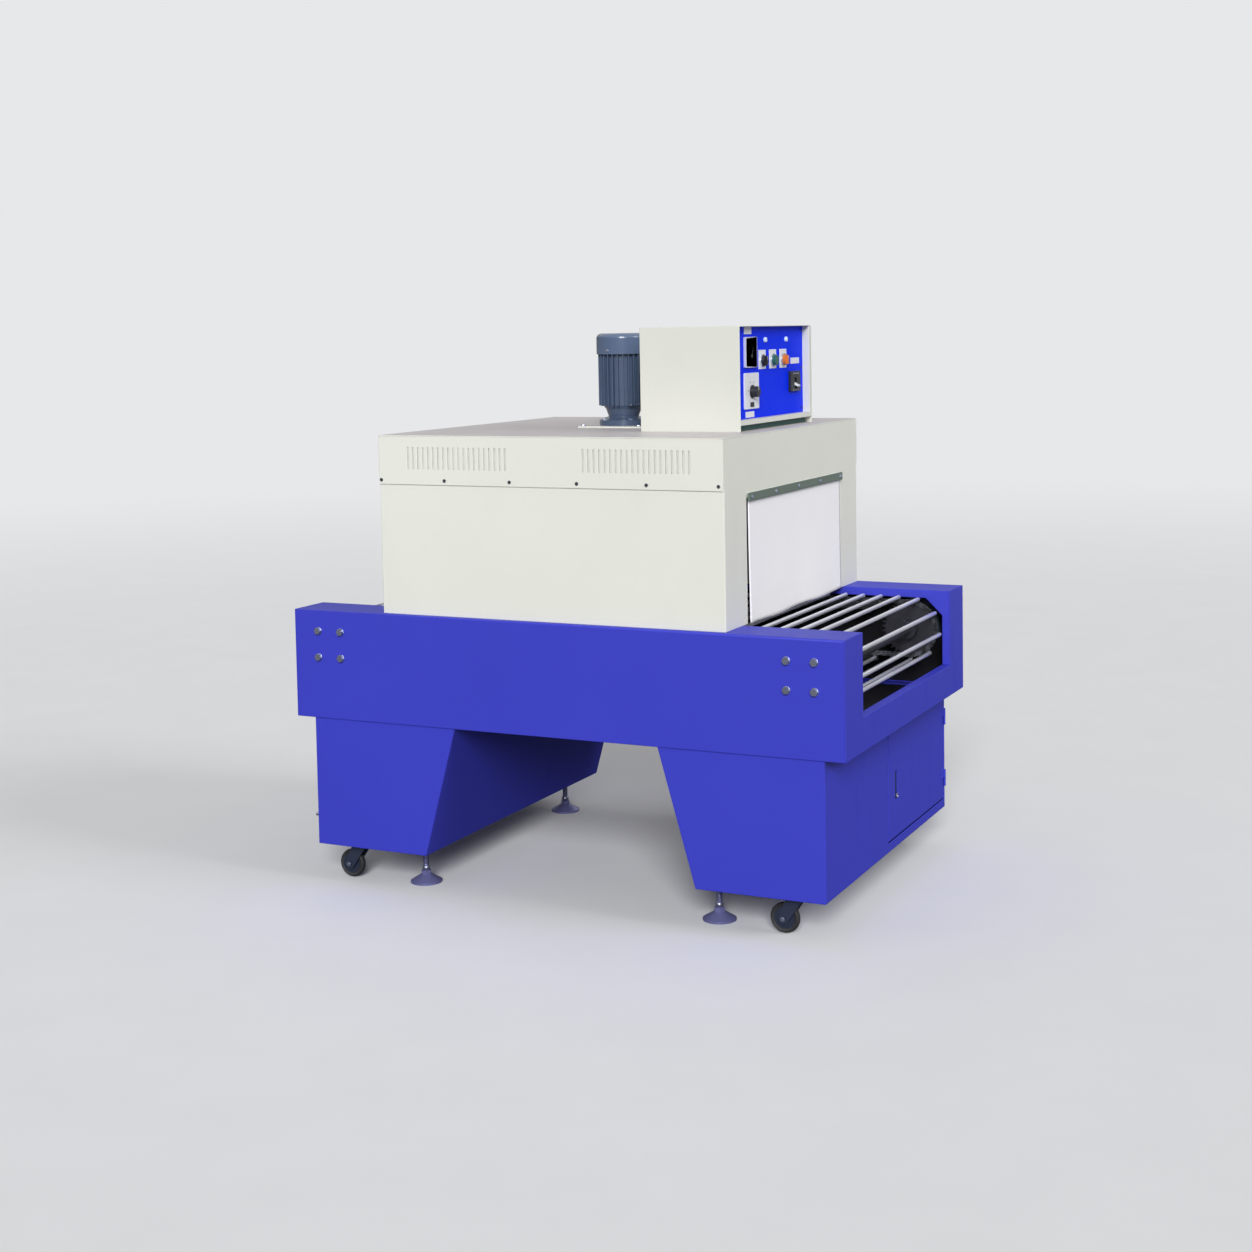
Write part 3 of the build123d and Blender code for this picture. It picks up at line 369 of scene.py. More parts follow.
def drawn_steel(name, colour, stretch, roughness=0.26, metallic=1.0):
    """Drawn or turned bright steel, with fine lines along the stretch and faint stains."""
    finish = Finish(name)
    lines = finish.noise(260.0, 2.0, stretch)
    stains = finish.step(finish.noise(17.0, 4.0), 0.52, 0.75)
    tone = finish.mix(lines, shade(colour, 0.84), shade(colour, 1.1))
    tone = finish.mix(stains * 0.25, tone, shade(colour, 0.62))
    rough = roughness + lines * 0.14 + stains * 0.12
    return finish.surface(tone, rough, finish.bump(lines, 0.00004), Metallic=metallic)


def zinc_plate(name, colour, roughness=0.26, tint=None, metallic=0.9):
    """Zinc plating, with small crystals, a passivated tint and painted highlights on the rims."""
    finish = Finish(name)
    crystals = finish.node(
        "ShaderNodeTexVoronoi", {"feature": "F1"}, {"Vector": finish.place, "Scale": 420.0}
    )
    clouds = finish.noise(60.0, 3.0)
    tone = finish.mix(crystals, shade(colour, 1.08), shade(colour, 0.8))
    tone = finish.mix(clouds * 0.45, tone, tint or shade(colour, 0.7))
    rounded, edge = finish.edges(0.0008)
    # Painted highlight: rims lighter than the flats.
    tone = finish.mix(edge * 0.5, tone, shade(colour, 1.25))
    rough = roughness + clouds * 0.16
    return finish.surface(tone, rough, finish.bump(clouds, 0.00005, rounded), Metallic=metallic)


def cast_paint(name, colour, roughness=0.36, grain=0.00025):
    """Enamel over a sand casting, with painted highlights on edges and fins."""
    finish = Finish(name)
    sand = finish.noise(230.0, 3.0)
    clouds = finish.noise(14.0, 3.0)
    tone = finish.mix(clouds, shade(colour, 0.86), shade(colour, 1.14))
    rounded, edge = finish.edges(0.0012)
    # Painted highlight: edges and fin tips lighter than the flats.
    tone = finish.mix(edge * clouds * 0.7, tone, shade(colour, 1.7))
    return finish.surface(
        tone,
        roughness + sand * 0.12,
        finish.bump(sand, grain, rounded),
        Coat_Weight=0.25,
        Coat_Roughness=0.22,
    )


def moulded(name, colour, roughness=0.4, grain=0.00005, **constants):
    """Moulded plastic with a fine spark-eroded grain and painted highlights on its edges."""
    finish = Finish(name)
    grains = finish.noise(1100.0, 2.0)
    clouds = finish.noise(35.0, 2.0)
    tone = finish.mix(clouds, shade(colour, 0.94), shade(colour, 1.06))
    rounded, edge = finish.edges(0.0007)
    # Painted highlight: edges lighter than the flats.
    tone = finish.mix(edge * 0.25, tone, shade(colour, 1.35))
    return finish.surface(
        tone, roughness + grains * 0.1, finish.bump(grains, grain, rounded), **constants
    )


def oiled_steel(name, colour):
    """Oiled chain steel: dark, half bright, with grease in patches."""
    finish = Finish(name)
    grease = finish.step(finish.noise(55.0, 4.0), 0.45, 0.65)
    lines = finish.noise(700.0, 1.0)
    tone = finish.mix(grease, shade(colour, 1.2), shade(colour, 0.3))
    rough = 0.3 + grease * 0.25 + lines * 0.06
    return finish.surface(tone, rough, finish.bump(lines, 0.00004), Metallic=0.85)


def curtain_cloth(name, colour):
    """Coated glass cloth: a plain weave that barely shows through the coating."""
    finish = Finish(name)
    threads = []
    for direction in ("Y", "Z"):
        across = finish.axis(direction) * (math.tau / 0.0016)
        threads.append(finish.node("ShaderNodeMath", {"operation": "SINE"}, {0: across}))
    weave = threads[0] * threads[1] * 0.5 + 0.5
    clouds = finish.noise(3.2, 3.0)
    soil = finish.step(finish.axis("Z"), 0.86, 0.72) * finish.noise(11.0, 4.0)
    tone = finish.mix(clouds, shade(colour, 0.95), shade(colour, 1.03))
    tone = finish.mix(weave * 0.06, tone, shade(colour, 0.8))
    tone = finish.mix(soil * 0.18, tone, (0.55, 0.50, 0.47, 1))
    relief = weave + finish.noise(60.0, 2.0) * 0.4
    return finish.surface(
        tone, 0.5 + weave * 0.12, finish.bump(relief, 0.00008), Sheen_Weight=0.15
    )


def tyre_and_hub(name, centre, rubber, hub):
    """Rubber outside, a pressed hub inside a radius round the axle, for one wheel."""
    finish = Finish(name)
    from_axle = finish.moved(location=(-centre.x, 0, -centre.z), scale=(1, 0, 1))
    radius = finish.node(
        "ShaderNodeVectorMath", {"operation": "LENGTH"}, {0: from_axle}, output="Value"
    )
    tyre = finish.step(radius, 0.0255, 0.0262)
    scuff = finish.noise(150.0, 4.0)
    tone = finish.mix(scuff, shade(hub, 0.8), shade(hub, 1.2))
    tone = finish.mix(tyre, tone, rubber)
    tone = finish.mix(tyre * finish.step(scuff, 0.5, 0.8) * 0.4, tone, shade(rubber, 2.4))
    shine = (1 - tyre) * 0.8
    return finish.surface(
        tone, 0.35 + tyre * 0.35, finish.bump(scuff, 0.00012), Metallic=shine
    )


def heat_board(name, colour):
    """Fibre board behind the vents."""
    finish = Finish(name)
    fibres = finish.noise(190.0, 5.0, (0.3, 1, 1))
    tone = finish.mix(fibres, shade(colour, 0.86), shade(colour, 1.08))
    return finish.surface(tone, 0.85, finish.bump(fibres, 0.0004))


def wear(finish, *names):
    """Put a finish on CAD nodes."""
    for name in names:
        cad_nodes[name].data.materials.clear()
        cad_nodes[name].data.materials.append(finish)


def soften(width, *names):
    """Round the cut edges of sheet metal nodes, on top of their own meshes."""
    for name in names:
        weld = cad_nodes[name].modifiers.new("Joined triangles", "WELD")
        weld.merge_threshold = 1e-6
        flats = cad_nodes[name].modifiers.new("Flat faces", "DECIMATE")
        flats.decimate_type = "DISSOLVE"
        flats.angle_limit = math.radians(0.5)
        edge = cad_nodes[name].modifiers.new("Edges", "BEVEL")
        edge.width = width
        edge.segments = 2
        edge.limit_method = "ANGLE"
        edge.angle_limit = math.radians(40)
        edge.harden_normals = True


# ------------------------------------------------------------------------- shapes


def piece(name, body, finish, shape, smooth=None):
    """Make an object of a bmesh, at the origin, and let it ride on a body."""
    mesh = bpy.data.meshes.new(name)
    shape.to_mesh(mesh)
    shape.free()
    mesh.materials.append(finish)
    if smooth:
        mesh.polygons.foreach_set("use_smooth", [True] * len(mesh.polygons))
        mesh.set_sharp_from_angle(angle=math.radians(smooth))
    made = bpy.data.objects.new(name, mesh)
    bpy.context.scene.collection.objects.link(made)
    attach(made, body)
    return made


def facing_plane(origin, axis, turn=0.0):
    """A place whose Z looks along the axis."""
    rotation = Vector(axis).to_track_quat("Z", "Y").to_matrix().to_4x4()
    return Matrix.Translation(origin) @ rotation @ Matrix.Rotation(turn, 4, "Z")


def top_face(made, axis):
    """The face of new vertices that lies furthest along an axis."""
    faces = {face for vertex in made for face in vertex.link_faces}
    return max(faces, key=lambda face: face.calc_center_median().dot(axis))


def add_head(shape, place, radius, height, sides, recess=0.5):
    """A screw or bolt head that stands on a place, rounded on top, with a driver recess."""
    axis = place.to_3x3() @ Vector((0, 0, 1))
    made = bmesh.ops.create_cone(
        shape,
        cap_ends=True,
        segments=sides,
        radius1=radius,
        radius2=radius,
        depth=height,
        matrix=place @ Matrix.Translation((0, 0, height / 2)),
    )["verts"]
    top = top_face(made, axis)
    rounded = bmesh.ops.bevel(
        shape,
        geom=list(top.edges),
        offset=height * 0.35,
        offset_type="OFFSET",
        segments=2,
        profile=0.5,
        affect="EDGES",
        material=-1,
    )
    top = top_face(rounded["verts"], axis)
    if recess:
        bmesh.ops.inset_individual(shape, faces=[top], thickness=radius * (1 - recess) * 0.8)
        deep = bmesh.ops.extrude_discrete_faces(shape, faces=[top])["faces"]
        bmesh.ops.translate(shape, verts=deep[0].verts, vec=axis * -height * 0.45)


def add_block(shape, size, centre, rounding=0.0, place=None):
    """A block with rounded edges."""
    stretch = Matrix.Translation(centre) @ Matrix.Diagonal((*size, 1))
    made = bmesh.ops.create_cube(shape, size=1.0, matrix=(place or Matrix()) @ stretch)["verts"]
    if rounding:
        bmesh.ops.bevel(
            shape,
            geom=list({edge for vertex in made for edge in vertex.link_edges}),
            offset=rounding,
            offset_type="OFFSET",
            segments=2,
            profile=0.5,
            affect="EDGES",
            material=-1,
        )


def add_turned(shape, place, profile, steps=32):
    """A solid turned about a place's Z from points (radius, height)."""
    points = [shape.verts.new(place @ Vector((radius, 0, height))) for radius, height in profile]
    edges = [shape.edges.new(pair) for pair in zip(points, points[1:])]
    axis = place.to_3x3() @ Vector((0, 0, 1))
    made = bmesh.ops.spin(
        shape,
        geom=points + edges,
        cent=place.translation,
        axis=axis,
        angle=math.tau,
        steps=steps,
        use_merge=True,
        use_duplicate=False,
    )
    near = {vertex for item in made["geom_last"] if isinstance(item, bmesh.types.BMVert)
            for vertex in [item]} | set(points)
    bmesh.ops.remove_doubles(shape, verts=list(shape.verts), dist=1e-7)
    return near


def closed(shape):
    """Turn every face of a closed shape outwards."""
    bmesh.ops.recalc_face_normals(shape, faces=list(shape.faces))
    return shape


def millimetres(*values):
    """Metres from millimetres."""
    return [value / 1000 for value in values]


# ------------------------------------------------------------------ places in the model

roof_low, roof_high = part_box("hood_roof")
hood_low, hood_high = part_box("hood_sides")
frame_low, frame_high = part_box("side_beam_far")
chain_low, chain_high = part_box("chain_far")
strip_low, strip_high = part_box("curtain_strips")
plate_low, plate_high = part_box("motor_plate")
cowl_low, cowl_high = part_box("fan_cowl")
body_low, body_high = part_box("motor_body")
panel_low, panel_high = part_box("control_panel")
box_low, box_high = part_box("control_box")
speed_low, speed_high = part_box("speed_controller")
thermo_low, thermo_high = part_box("temperature_controller")
motor_centre = (plate_low + plate_high) / 2
shaft_level = (chain_low.z + chain_high.z) / 2
corner_names = ("right_near", "right_far", "left_near", "left_far")


class Operation(Operator):
    """What every operator here shares."""

    bl_options = {"REGISTER"}

    def execute(self, context):
        scene = context.scene
        self.paints = scene.tunnel_paints
        self.fittings = scene.tunnel_fittings
        self.fasteners = scene.tunnel_fasteners
        self.cloth = scene.tunnel_cloth
        self.stage = scene.tunnel_stage
        self.make()
        return {"FINISHED"}

    def paint(self, name):
        return linear(getattr(self.paints, name))

    def fitting(self, name):
        return linear(getattr(self.fittings, name))

    def shared(self, name, maker, *values, **more):
        """A finish that several operators use, made once."""
        return bpy.data.materials.get(name) or maker(name, *values, **more)

    def zinc(self):
        return self.shared("bright_zinc", zinc_plate, self.fitting("zinc"))


class TUNNEL_OT_conveyor_frame(Operation):
    """Paint the conveyor's frame, and finish its bolts, shafts and bearings"""

    bl_idname = "tunnel.conveyor_frame"
    bl_label = "Conveyor Frame"

    def make(self):
        # Painted shade: the beams' faces inside the trough are painted near-black, where shade falls.
        painted_shade_inside = ((0, 0.3735, 0.45), (0.7675, 0.4972, 0.7268), self.paint("shaded_rail_black"))
        blue = powder_coat(
            "beam_paint", self.paint("frame_blue"), 0.45, inside=painted_shade_inside, specular=0.25
        )
        sheets = ("side_beam_far", "side_beam_near", "end_plate_right", "end_plate_left")
        wear(blue, *sheets)
        soften(0.0012, *sheets)
        # Painted shade: the pan and rails carry the near-black of the shaded trough.
        black = powder_coat("rail_shade_enamel", self.paint("shaded_rail_black"), 0.5)
        wear(black, "bottom_pan", "chain_rails")
        wear(self.zinc(), "bearing_bolts")
        # Painted shade: the shafts wear the dark shaft colour.
        shaft = drawn_steel("shaded_turned_shafts", self.fitting("shaft_steel"), (1, 0.06, 1), 0.42, 0.6)
        wear(shaft, "drive_shaft", "idler_shaft")
        wear(cast_paint("bearing_enamel", self.paint("casting_blue")), "shaft_bearings")
        rods = drawn_steel("drawn_rods", self.fitting("rod_steel"), (1, 0.03, 1), 0.24, 0.75)
        wear(rods, "conveyor_rollers")
        self.set_screws()

    def set_screws(self):
        """A grease nipple on each bearing unit's boss."""
        shape = bmesh.new()
        low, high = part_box("shaft_bearings")
        profile = [(0, 0), (0.004, 0), (0.004, 0.003), (0.0022, 0.0035)]
        profile += [(0.0022, 0.006), (0.003, 0.0068), (0.002, 0.009), (0, 0.009)]
        for x in (low.x + 0.0475, high.x - 0.0475):
            for y in (low.y + 0.024, high.y - 0.024):
                place = facing_plane((x, y, shaft_level + 0.0345), (0, 0, 1))
                add_turned(shape, place, profile, 12)
        piece("grease_nipples", "machine", self.zinc(), closed(shape), 35)


class TUNNEL_OT_chains(Operation):
    """Build both roller chains link by link in place of their plain rings"""

    bl_idname = "tunnel.chains"
    bl_label = "Roller Chains"

    pitch = 0.0127
    turn_links = 18
    straight_links = 104
    rod_every = 4
    first_link = 0.75
    rod_offset = 0.0136
    plate_radius = 0.0059
    plate_thickness = 0.0014

    def loop_place(self, link, offset=0.0):
        """Where a pin lies on the loop in X and Z, or a point outside of it."""
        radius = self.pitch / (2 * math.sin(math.pi / (2 * self.turn_links))) + offset
        half = self.straight_links * self.pitch / 2
        step = math.pi / self.turn_links
        loop = 2 * (self.turn_links + self.straight_links)
        link = link % loop
        if link <= self.turn_links:
            angle = math.pi / 2 - step * link
            return half + radius * math.cos(angle), shaft_level + radius * math.sin(angle)
        link -= self.turn_links
        if link <= self.straight_links:
            return half - link * self.pitch, shaft_level - radius
        link -= self.straight_links
        if link <= self.turn_links:
            angle = -math.pi / 2 - step * link
            return -half + radius * math.cos(angle), shaft_level + radius * math.sin(angle)
        return -half + (link - self.turn_links) * self.pitch, shaft_level + radius

    def add_plate(self, shape, start, end, y):
        """One link plate between two pins: a disc drawn out to the pitch."""
        middle = Vector(((start[0] + end[0]) / 2, y, (start[1] + end[1]) / 2))
        along = Vector((end[0] - start[0], 0, end[1] - start[1]))
        made = bmesh.ops.create_cone(
            shape,
            cap_ends=True,
            segments=10,
            radius1=self.plate_radius,
            radius2=self.plate_radius,
            depth=self.plate_thickness,
            matrix=facing_plane(middle, (0, 1, 0)),
        )["verts"]
        direction = along.normalized()
        for sign in (-1, 1):
            half = [v for v in made if sign * (v.co - middle).dot(direction) > 1e-6]
            bmesh.ops.translate(shape, verts=half, vec=direction * sign * along.length / 2)

    def add_pin(self, shape, place, start, end, radius, sides):
        """A round pin along Y."""
        bmesh.ops.create_cone(
            shape,
            cap_ends=True,
            segments=sides,
            radius1=radius,
            radius2=radius,
            depth=abs(end - start),
            matrix=facing_plane((place[0], (start + end) / 2, place[1]), (0, 1, 0)),
        )

    def make(self):
        oiled = self.shared("oiled_chain", oiled_steel, self.fitting("chain_steel"))
        loop = 2 * (self.turn_links + self.straight_links)
        pins = [self.loop_place(k + self.first_link) for k in range(loop)]
        inner_end = chain_low.y
        outer_end = chain_high.y - 0.0012
        plates = millimetres(4.2, 13.8)
        wider = millimetres(2.7, 15.3)
        for side, name in ((-1, "near"), (1, "far")):
            shape = bmesh.new()
            for k, pin in enumerate(pins):
                following = pins[(k + 1) % loop]
                for offset in plates if k % 2 else wider:
                    self.add_plate(shape, pin, following, side * (inner_end + offset))
                roller = (side * (inner_end + 0.005), side * (inner_end + 0.013))
                self.add_pin(shape, pin, *roller, 0.0040, 8)
                self.add_pin(shape, pin, side * (inner_end + 0.0004), side * outer_end, 0.0022, 6)
                if k % self.rod_every == 1:
                    rod = self.loop_place(k + self.first_link, self.rod_offset)
                    self.add_plate(shape, pin, rod, side * (inner_end + 0.001))
                    self.add_pin(
                        shape, rod, side * (inner_end + 0.0001), side * (inner_end + 0.005), 0.0034, 6
                    )
            chain = piece(f"roller_chain_{name}", "machine", oiled, closed(shape))
            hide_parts(f"chain_{name}")


class TUNNEL_OT_pedestals(Operation):
    """Paint both pedestals and finish the door, its lock and the earth stud"""

    bl_idname = "tunnel.pedestals"
    bl_label = "Pedestals"

    def make(self):
        blue = powder_coat("frame_paint", self.paint("frame_blue"), 0.45, specular=0.25)
        sheets = ["cabinet_sides", "cabinet_inner_panel", "cabinet_end_panel", "pedestal_sides"]
        sheets += ["pedestal_inner_panel", "pedestal_outer_panel"]
        wear(blue, *sheets)
        wear(blue, "cabinet_floor", "pedestal_floor", "cabinet_door", "door_hinges")
        soften(0.001, *sheets)
        wear(self.zinc(), "earth_stud")
        black = self.shared("black_plastic", moulded, self.fitting("control_black"), 0.35)
        wear(black, "door_lock")
        self.key_barrel()
        self.hinge_screws()
        self.earth_nuts()

    def key_barrel(self):
        """The chromed ring and the keyway on the end of the lock."""
        low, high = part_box("door_lock")
        slot_low = low.z + 0.0
        shape = bmesh.new()
        centre = (high.x - 0.0002, (low.y + high.y) / 2, slot_low + 0.0)
        door_low, door_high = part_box("cabinet_door")
        centre = (high.x - 0.0003, (low.y + high.y) / 2, 0.235)
        place = facing_plane(centre, (1, 0, 0))
        ring = [(0.0036, 0), (0.0064, 0), (0.0064, 0.0012), (0.0056, 0.0018)]
        ring += [(0.0042, 0.0018), (0.0036, 0.0012), (0.0036, 0)]
        add_turned(shape, place, ring, 28)
        core = [(0, 0), (0.0034, 0), (0.0034, 0.0008), (0.0028, 0.0012), (0, 0.0012)]
        add_turned(shape, place, core, 20)
        chrome = self.shared("bright_chrome", drawn_steel, linear((0.86, 0.88, 0.9)), (1, 1, 1), 0.12)
        piece("lock_barrel", "door", chrome, closed(shape), 35)
        slit = bmesh.new()
        add_block(slit, (0.0004, 0.0012, 0.0046), Vector(centre) + Vector((0.0012, 0, 0)), 0.0001)
        black = self.shared("black_plastic", moulded, self.fitting("control_black"), 0.35)
        piece("lock_keyway", "door", black, closed(slit))

    def hinge_screws(self):
        """Two screws in each fixed hinge leaf."""
        low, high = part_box("door_hinges")
        shape = bmesh.new()
        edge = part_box("cabinet_sides")[1].y
        for z in (low.z + 0.006, low.z + 0.017, high.z - 0.040, high.z - 0.029):
            place = facing_plane((low.x + 0.002, (edge + 0.4855) / 2 + 0.001, z), (1, 0, 0), z * 90)
            add_head(shape, place, 0.0024, 0.0011, self.fasteners.head_sides)
        piece("hinge_screws", "machine", self.zinc(), closed(shape), 35)

    def earth_nuts(self):
        """Washer and nut on the earth stud."""
        low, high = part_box("earth_stud")
        centre = (low + high) / 2
        shape = bmesh.new()
        place = facing_plane((high.x - 0.0065, centre.y, centre.z), (-1, 0, 0))
        ring = [(0.0046, 0), (0.0095, 0), (0.0095, 0.0014), (0.0046, 0.0014), (0.0046, 0)]
        add_turned(shape, place, ring, 24)
        add_head(shape, place @ Matrix.Translation((0, 0, 0.0014)), 0.0078, 0.0055, 6, 0)
        piece("earth_nut", "machine", self.zinc(), closed(shape), 35)


class TUNNEL_OT_feet(Operation):
    """Finish the levelling feet, with threads on their stems and lock nuts"""

    bl_idname = "tunnel.feet"
    bl_label = "Levelling Feet"

    def make(self):
        metal = zinc_plate(
            "blue_zinc", self.fitting("foot_blue"), 0.3, tint=(0.13, 0.135, 0.3, 1), metallic=0.35
        )
        wear(metal, "levelling_feet")
        low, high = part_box("levelling_feet")
        places = [
            (x, y)
            for x in (low.x + 0.042, high.x - 0.042)
            for y in (low.y + 0.042, high.y - 0.042)
        ]
        nuts = bmesh.new()
        threads = bmesh.new()
        for x, y in places:
            nut = Matrix.Translation((x, y, high.z - 0.0115)) @ Matrix.Rotation(0.3, 4, "Z")
            add_head(nuts, nut, 0.0128, 0.0112, 6, 0)
            ball = [(0, 0.0195), (0.0075, 0.0195), (0.0098, 0.0225), (0.0105, 0.0262)]
            ball += [(0.0098, 0.0299), (0.0078, 0.0325), (0, 0.0325)]
            lift = Matrix.Translation((x, y, 0.0122))
            add_turned(nuts, lift, ball, 28)
            self.add_thread(threads, Vector((x, y, 0.044)), high.z - 0.012 - 0.044)
        piece("foot_nuts", "machine", self.zinc(), closed(nuts), 40)
        piece("foot_threads", "machine", self.zinc(), closed(threads))

    def add_thread(self, shape, start, length):
        """A V thread wound up a stem."""
        pitch = self.fasteners.thread_pitch
        inner = 0.0070
        outer = inner + self.fasteners.thread_depth
        turns = int(length / pitch) - 1
        steps = 20
        profile = [(inner - 0.0004, 0), (outer, pitch * 0.42), (inner - 0.0004, pitch * 0.84)]
        points = [shape.verts.new(start + Vector((r, 0, z))) for r, z in profile]
        ring = points + [points[0]]
        edges = [shape.edges.new(pair) for pair in zip(ring, ring[1:])]
        faces = [shape.faces.new(points)]
        made = bmesh.ops.spin(
            shape,
            geom=points + edges + faces,
            cent=start,
            axis=(0, 0, 1),
            dvec=(0, 0, pitch / steps),
            angle=math.tau * turns,
            steps=steps * turns,
            use_merge=False,
            use_duplicate=False,
        )
        return made


class TUNNEL_OT_casters(Operation):
    """Finish the casters: forks, tyres and hubs, and the screws of their plates"""

    bl_idname = "tunnel.casters"
    bl_label = "Casters"

    def make(self):
        metal = zinc_plate("caster_zinc_plate", self.fitting("caster_grey"), 0.3, metallic=0.8)
        wear(metal, "caster_plates")
        rubber = self.fitting("tyre_black")
        # Painted shade: the hubs are the fork grey made darker.
        hub = shade(self.fitting("caster_grey"), 0.8)
        for corner in corner_names:
            low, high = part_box(f"caster_wheel_{corner}")
            finish = tyre_and_hub(f"caster_wheel_finish_{corner}", (low + high) / 2, rubber, hub)
            wear(finish, f"caster_wheel_{corner}")
            wear(metal, f"caster_fork_{corner}")
            self.axle_nuts(corner)
        self.plate_bolts()

    def axle_nuts(self, corner):
        """A nut and the bolt's head outside the fork's legs."""
        low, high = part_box(f"caster_fork_{corner}")
        wheel_low, wheel_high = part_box(f"caster_wheel_{corner}")
        wheel = (wheel_low + wheel_high) / 2
        shape = bmesh.new()
        for y, out in ((low.y + 0.002, -1), (high.y - 0.002, 1)):
            place = facing_plane((wheel.x, y, wheel.z), (0, out, 0), 0.2)
            add_head(shape, place, 0.0068, 0.0032, 6, 0)
        piece(f"axle_nuts_{corner}", f"fork_{corner}", self.zinc(), closed(shape), 40)

    def plate_bolts(self):
        """Four screws up through each caster plate."""
        low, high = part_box("caster_plates")
        shape = bmesh.new()
        for x in (low.x + 0.039, high.x - 0.039):
            for y in (low.y + 0.031, high.y - 0.031):
                for across in (-0.0305, 0.0305):
                    for along in (-0.0235, 0.0235):
                        foot = (x + across, y + along, high.z - 0.003)
                        add_head(shape, facing_plane(foot, (0, 0, -1)), 0.0042, 0.0026, 6, 0)
        piece("caster_bolts", "machine", self.zinc(), closed(shape), 40)


class TUNNEL_OT_hood(Operation):
    """Paint the tunnel and its hood, and add the seam's screws and the board behind the vents"""

    bl_idname = "tunnel.hood"
    bl_label = "Tunnel and Hood"

    vent_pitch = 0.015
    vent_margin = 0.088

    def make(self):
        # The tunnel paint darkens its upward faces with painted shade.
        cream = self.shared(
            "tunnel_paint",
            powder_coat,
            self.paint("tunnel_cream"),
            0.4,
            dust=self.paint("roof_shade"),
            wear=0.35,
        )
        wear(cream, "tunnel_walls", "tunnel_ceiling", "end_frame_right", "end_frame_left")
        wear(cream, "hood_sides", "hood_roof")
        soften(0.0012, "tunnel_walls", "end_frame_right", "end_frame_left", "hood_roof")
        self.seam_screws()
        self.vent_boards()
        self.vent_blades(cream)

    def seam_screws(self):
        """Six screws along the hood's lap on each side."""
        shape = bmesh.new()
        level = hood_low.z + 0.0115
        first, last = roof_low.x + 0.006, roof_high.x - 0.012
        for k in range(6):
            x = first + (last - first) * k / 5
            for y, out in ((roof_low.y, -1), (roof_high.y, 1)):
                depth = 0.0002 if k in (0, 5) else 0.0
                place = facing_plane((x, y - out * depth, level), (0, out, 0), k)
                add_head(
                    shape, place, self.fasteners.hood_screw, 0.0022, self.fasteners.head_sides, 0.55
                )
        dark = self.shared("dark_screws", zinc_plate, linear((0.34, 0.35, 0.38)), 0.4)
        piece("hood_screws", "machine", dark, closed(shape), 35)

    def vent_boards(self):
        """Heat-proof board just behind each bank of slots."""
        shape = bmesh.new()
        for y, inward in ((hood_low.y, 1), (hood_high.y, -1)):
            centre = Vector(((hood_low.x + hood_high.x) / 2, y + inward * 0.0062, 1.136))
            add_block(shape, (hood_high.x - hood_low.x - 0.07, 0.003, 0.084), centre, 0.001)
        board = heat_board("vent_board_finish", self.fitting("board_beige"))
        piece("vent_boards", "machine", board, closed(shape))

    def vent_blades(self, cream):
        """A slanted blade in every slot, which lets the air out and hides the board."""
        shape = bmesh.new()
        middle = 9.5 * self.vent_pitch + self.vent_margin
        for bank in (hood_low.x + middle, hood_high.x - middle):
            for k in range(20):
                x = bank + (k - 9.5) * self.vent_pitch
                for y, out in ((hood_low.y, -1), (hood_high.y, 1)):
                    place = facing_plane((x, y - out * 0.0021, 1.136), (0, out, 0))
                    slant = place @ Matrix.Rotation(math.radians(out * 24), 4, "Y")
                    add_block(shape, (0.0046, 0.0555, 0.0010), (0, 0, 0), place=slant)
        piece("vent_blades", "machine", cream, closed(shape))


class TUNNEL_OT_curtains(Operation):
    """Hang both curtains and screw their strips on"""

    bl_idname = "tunnel.curtains"
    bl_label = "Curtains"

    def make(self):
        cloth = curtain_cloth("curtain_cloth", self.fitting("curtain_white"))
        strip = powder_coat("strip_paint", self.fitting("strip_green"), 0.35, wear=0.9)
        wear(strip, "curtain_strips")
        soften(0.0008, "curtain_strips")
        self.hang("right", 1, cloth)
        self.hang("left", -1, cloth)
        self.strip_screws()

    def hang(self, end, outward, cloth):
        """One curtain: a sheet that is flat under its strip and waves a little lower down."""
        low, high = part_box(f"curtain_{end}")
        width, height = high.y - low.y, high.z - low.z
        face = low.x if outward > 0 else high.x
        shape = bmesh.new()
        place = facing_plane((face, (low.y + high.y) / 2, (low.z + high.z) / 2), (outward, 0, 0))
        grid = place @ Matrix.Diagonal((width, height, 1, 1))
        bmesh.ops.create_grid(shape, x_segments=72, y_segments=36, size=0.5, matrix=grid)
        for vertex in shape.verts:
            across = (vertex.co.y - low.y) / width
            drop = (high.z - vertex.co.z) / height
            swing = 0.5 + 0.28 * math.sin(across * 9.1 + 0.6) + 0.22 * math.sin(across * 17.3 + 2.1)
            lift = self.cloth.wave * swing * max(0.0, drop - 0.07) ** 1.6
            hem = self.cloth.hem_wave * (math.sin(across * 13.0 + 1.0) + 1) * drop**6
            vertex.co.x += outward * (self.cloth.thickness / 2 + 0.0001 + lift)
            vertex.co.z += hem
        curtain = piece(f"cloth_{end}", "machine", cloth, shape, 60)
        thick = curtain.modifiers.new("Cloth", "SOLIDIFY")
        thick.thickness = self.cloth.thickness
        thick.offset = 0.0
        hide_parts(f"curtain_{end}")

    def strip_screws(self):
        """Five screws along each strip."""
        shape = bmesh.new()
        level = (strip_low.z + strip_high.z) / 2
        for x, out in ((strip_high.x, 1), (strip_low.x, -1)):
            for k in range(5):
                y = strip_low.y + 0.018 + (strip_high.y - strip_low.y - 0.036) * k / 4
                place = facing_plane((x, y, level), (out, 0, 0), k * 0.7)
                add_head(
                    shape, place, self.fasteners.strip_screw, 0.0024, self.fasteners.head_sides
                )
        piece("strip_screws", "machine", self.zinc(), closed(shape), 35)


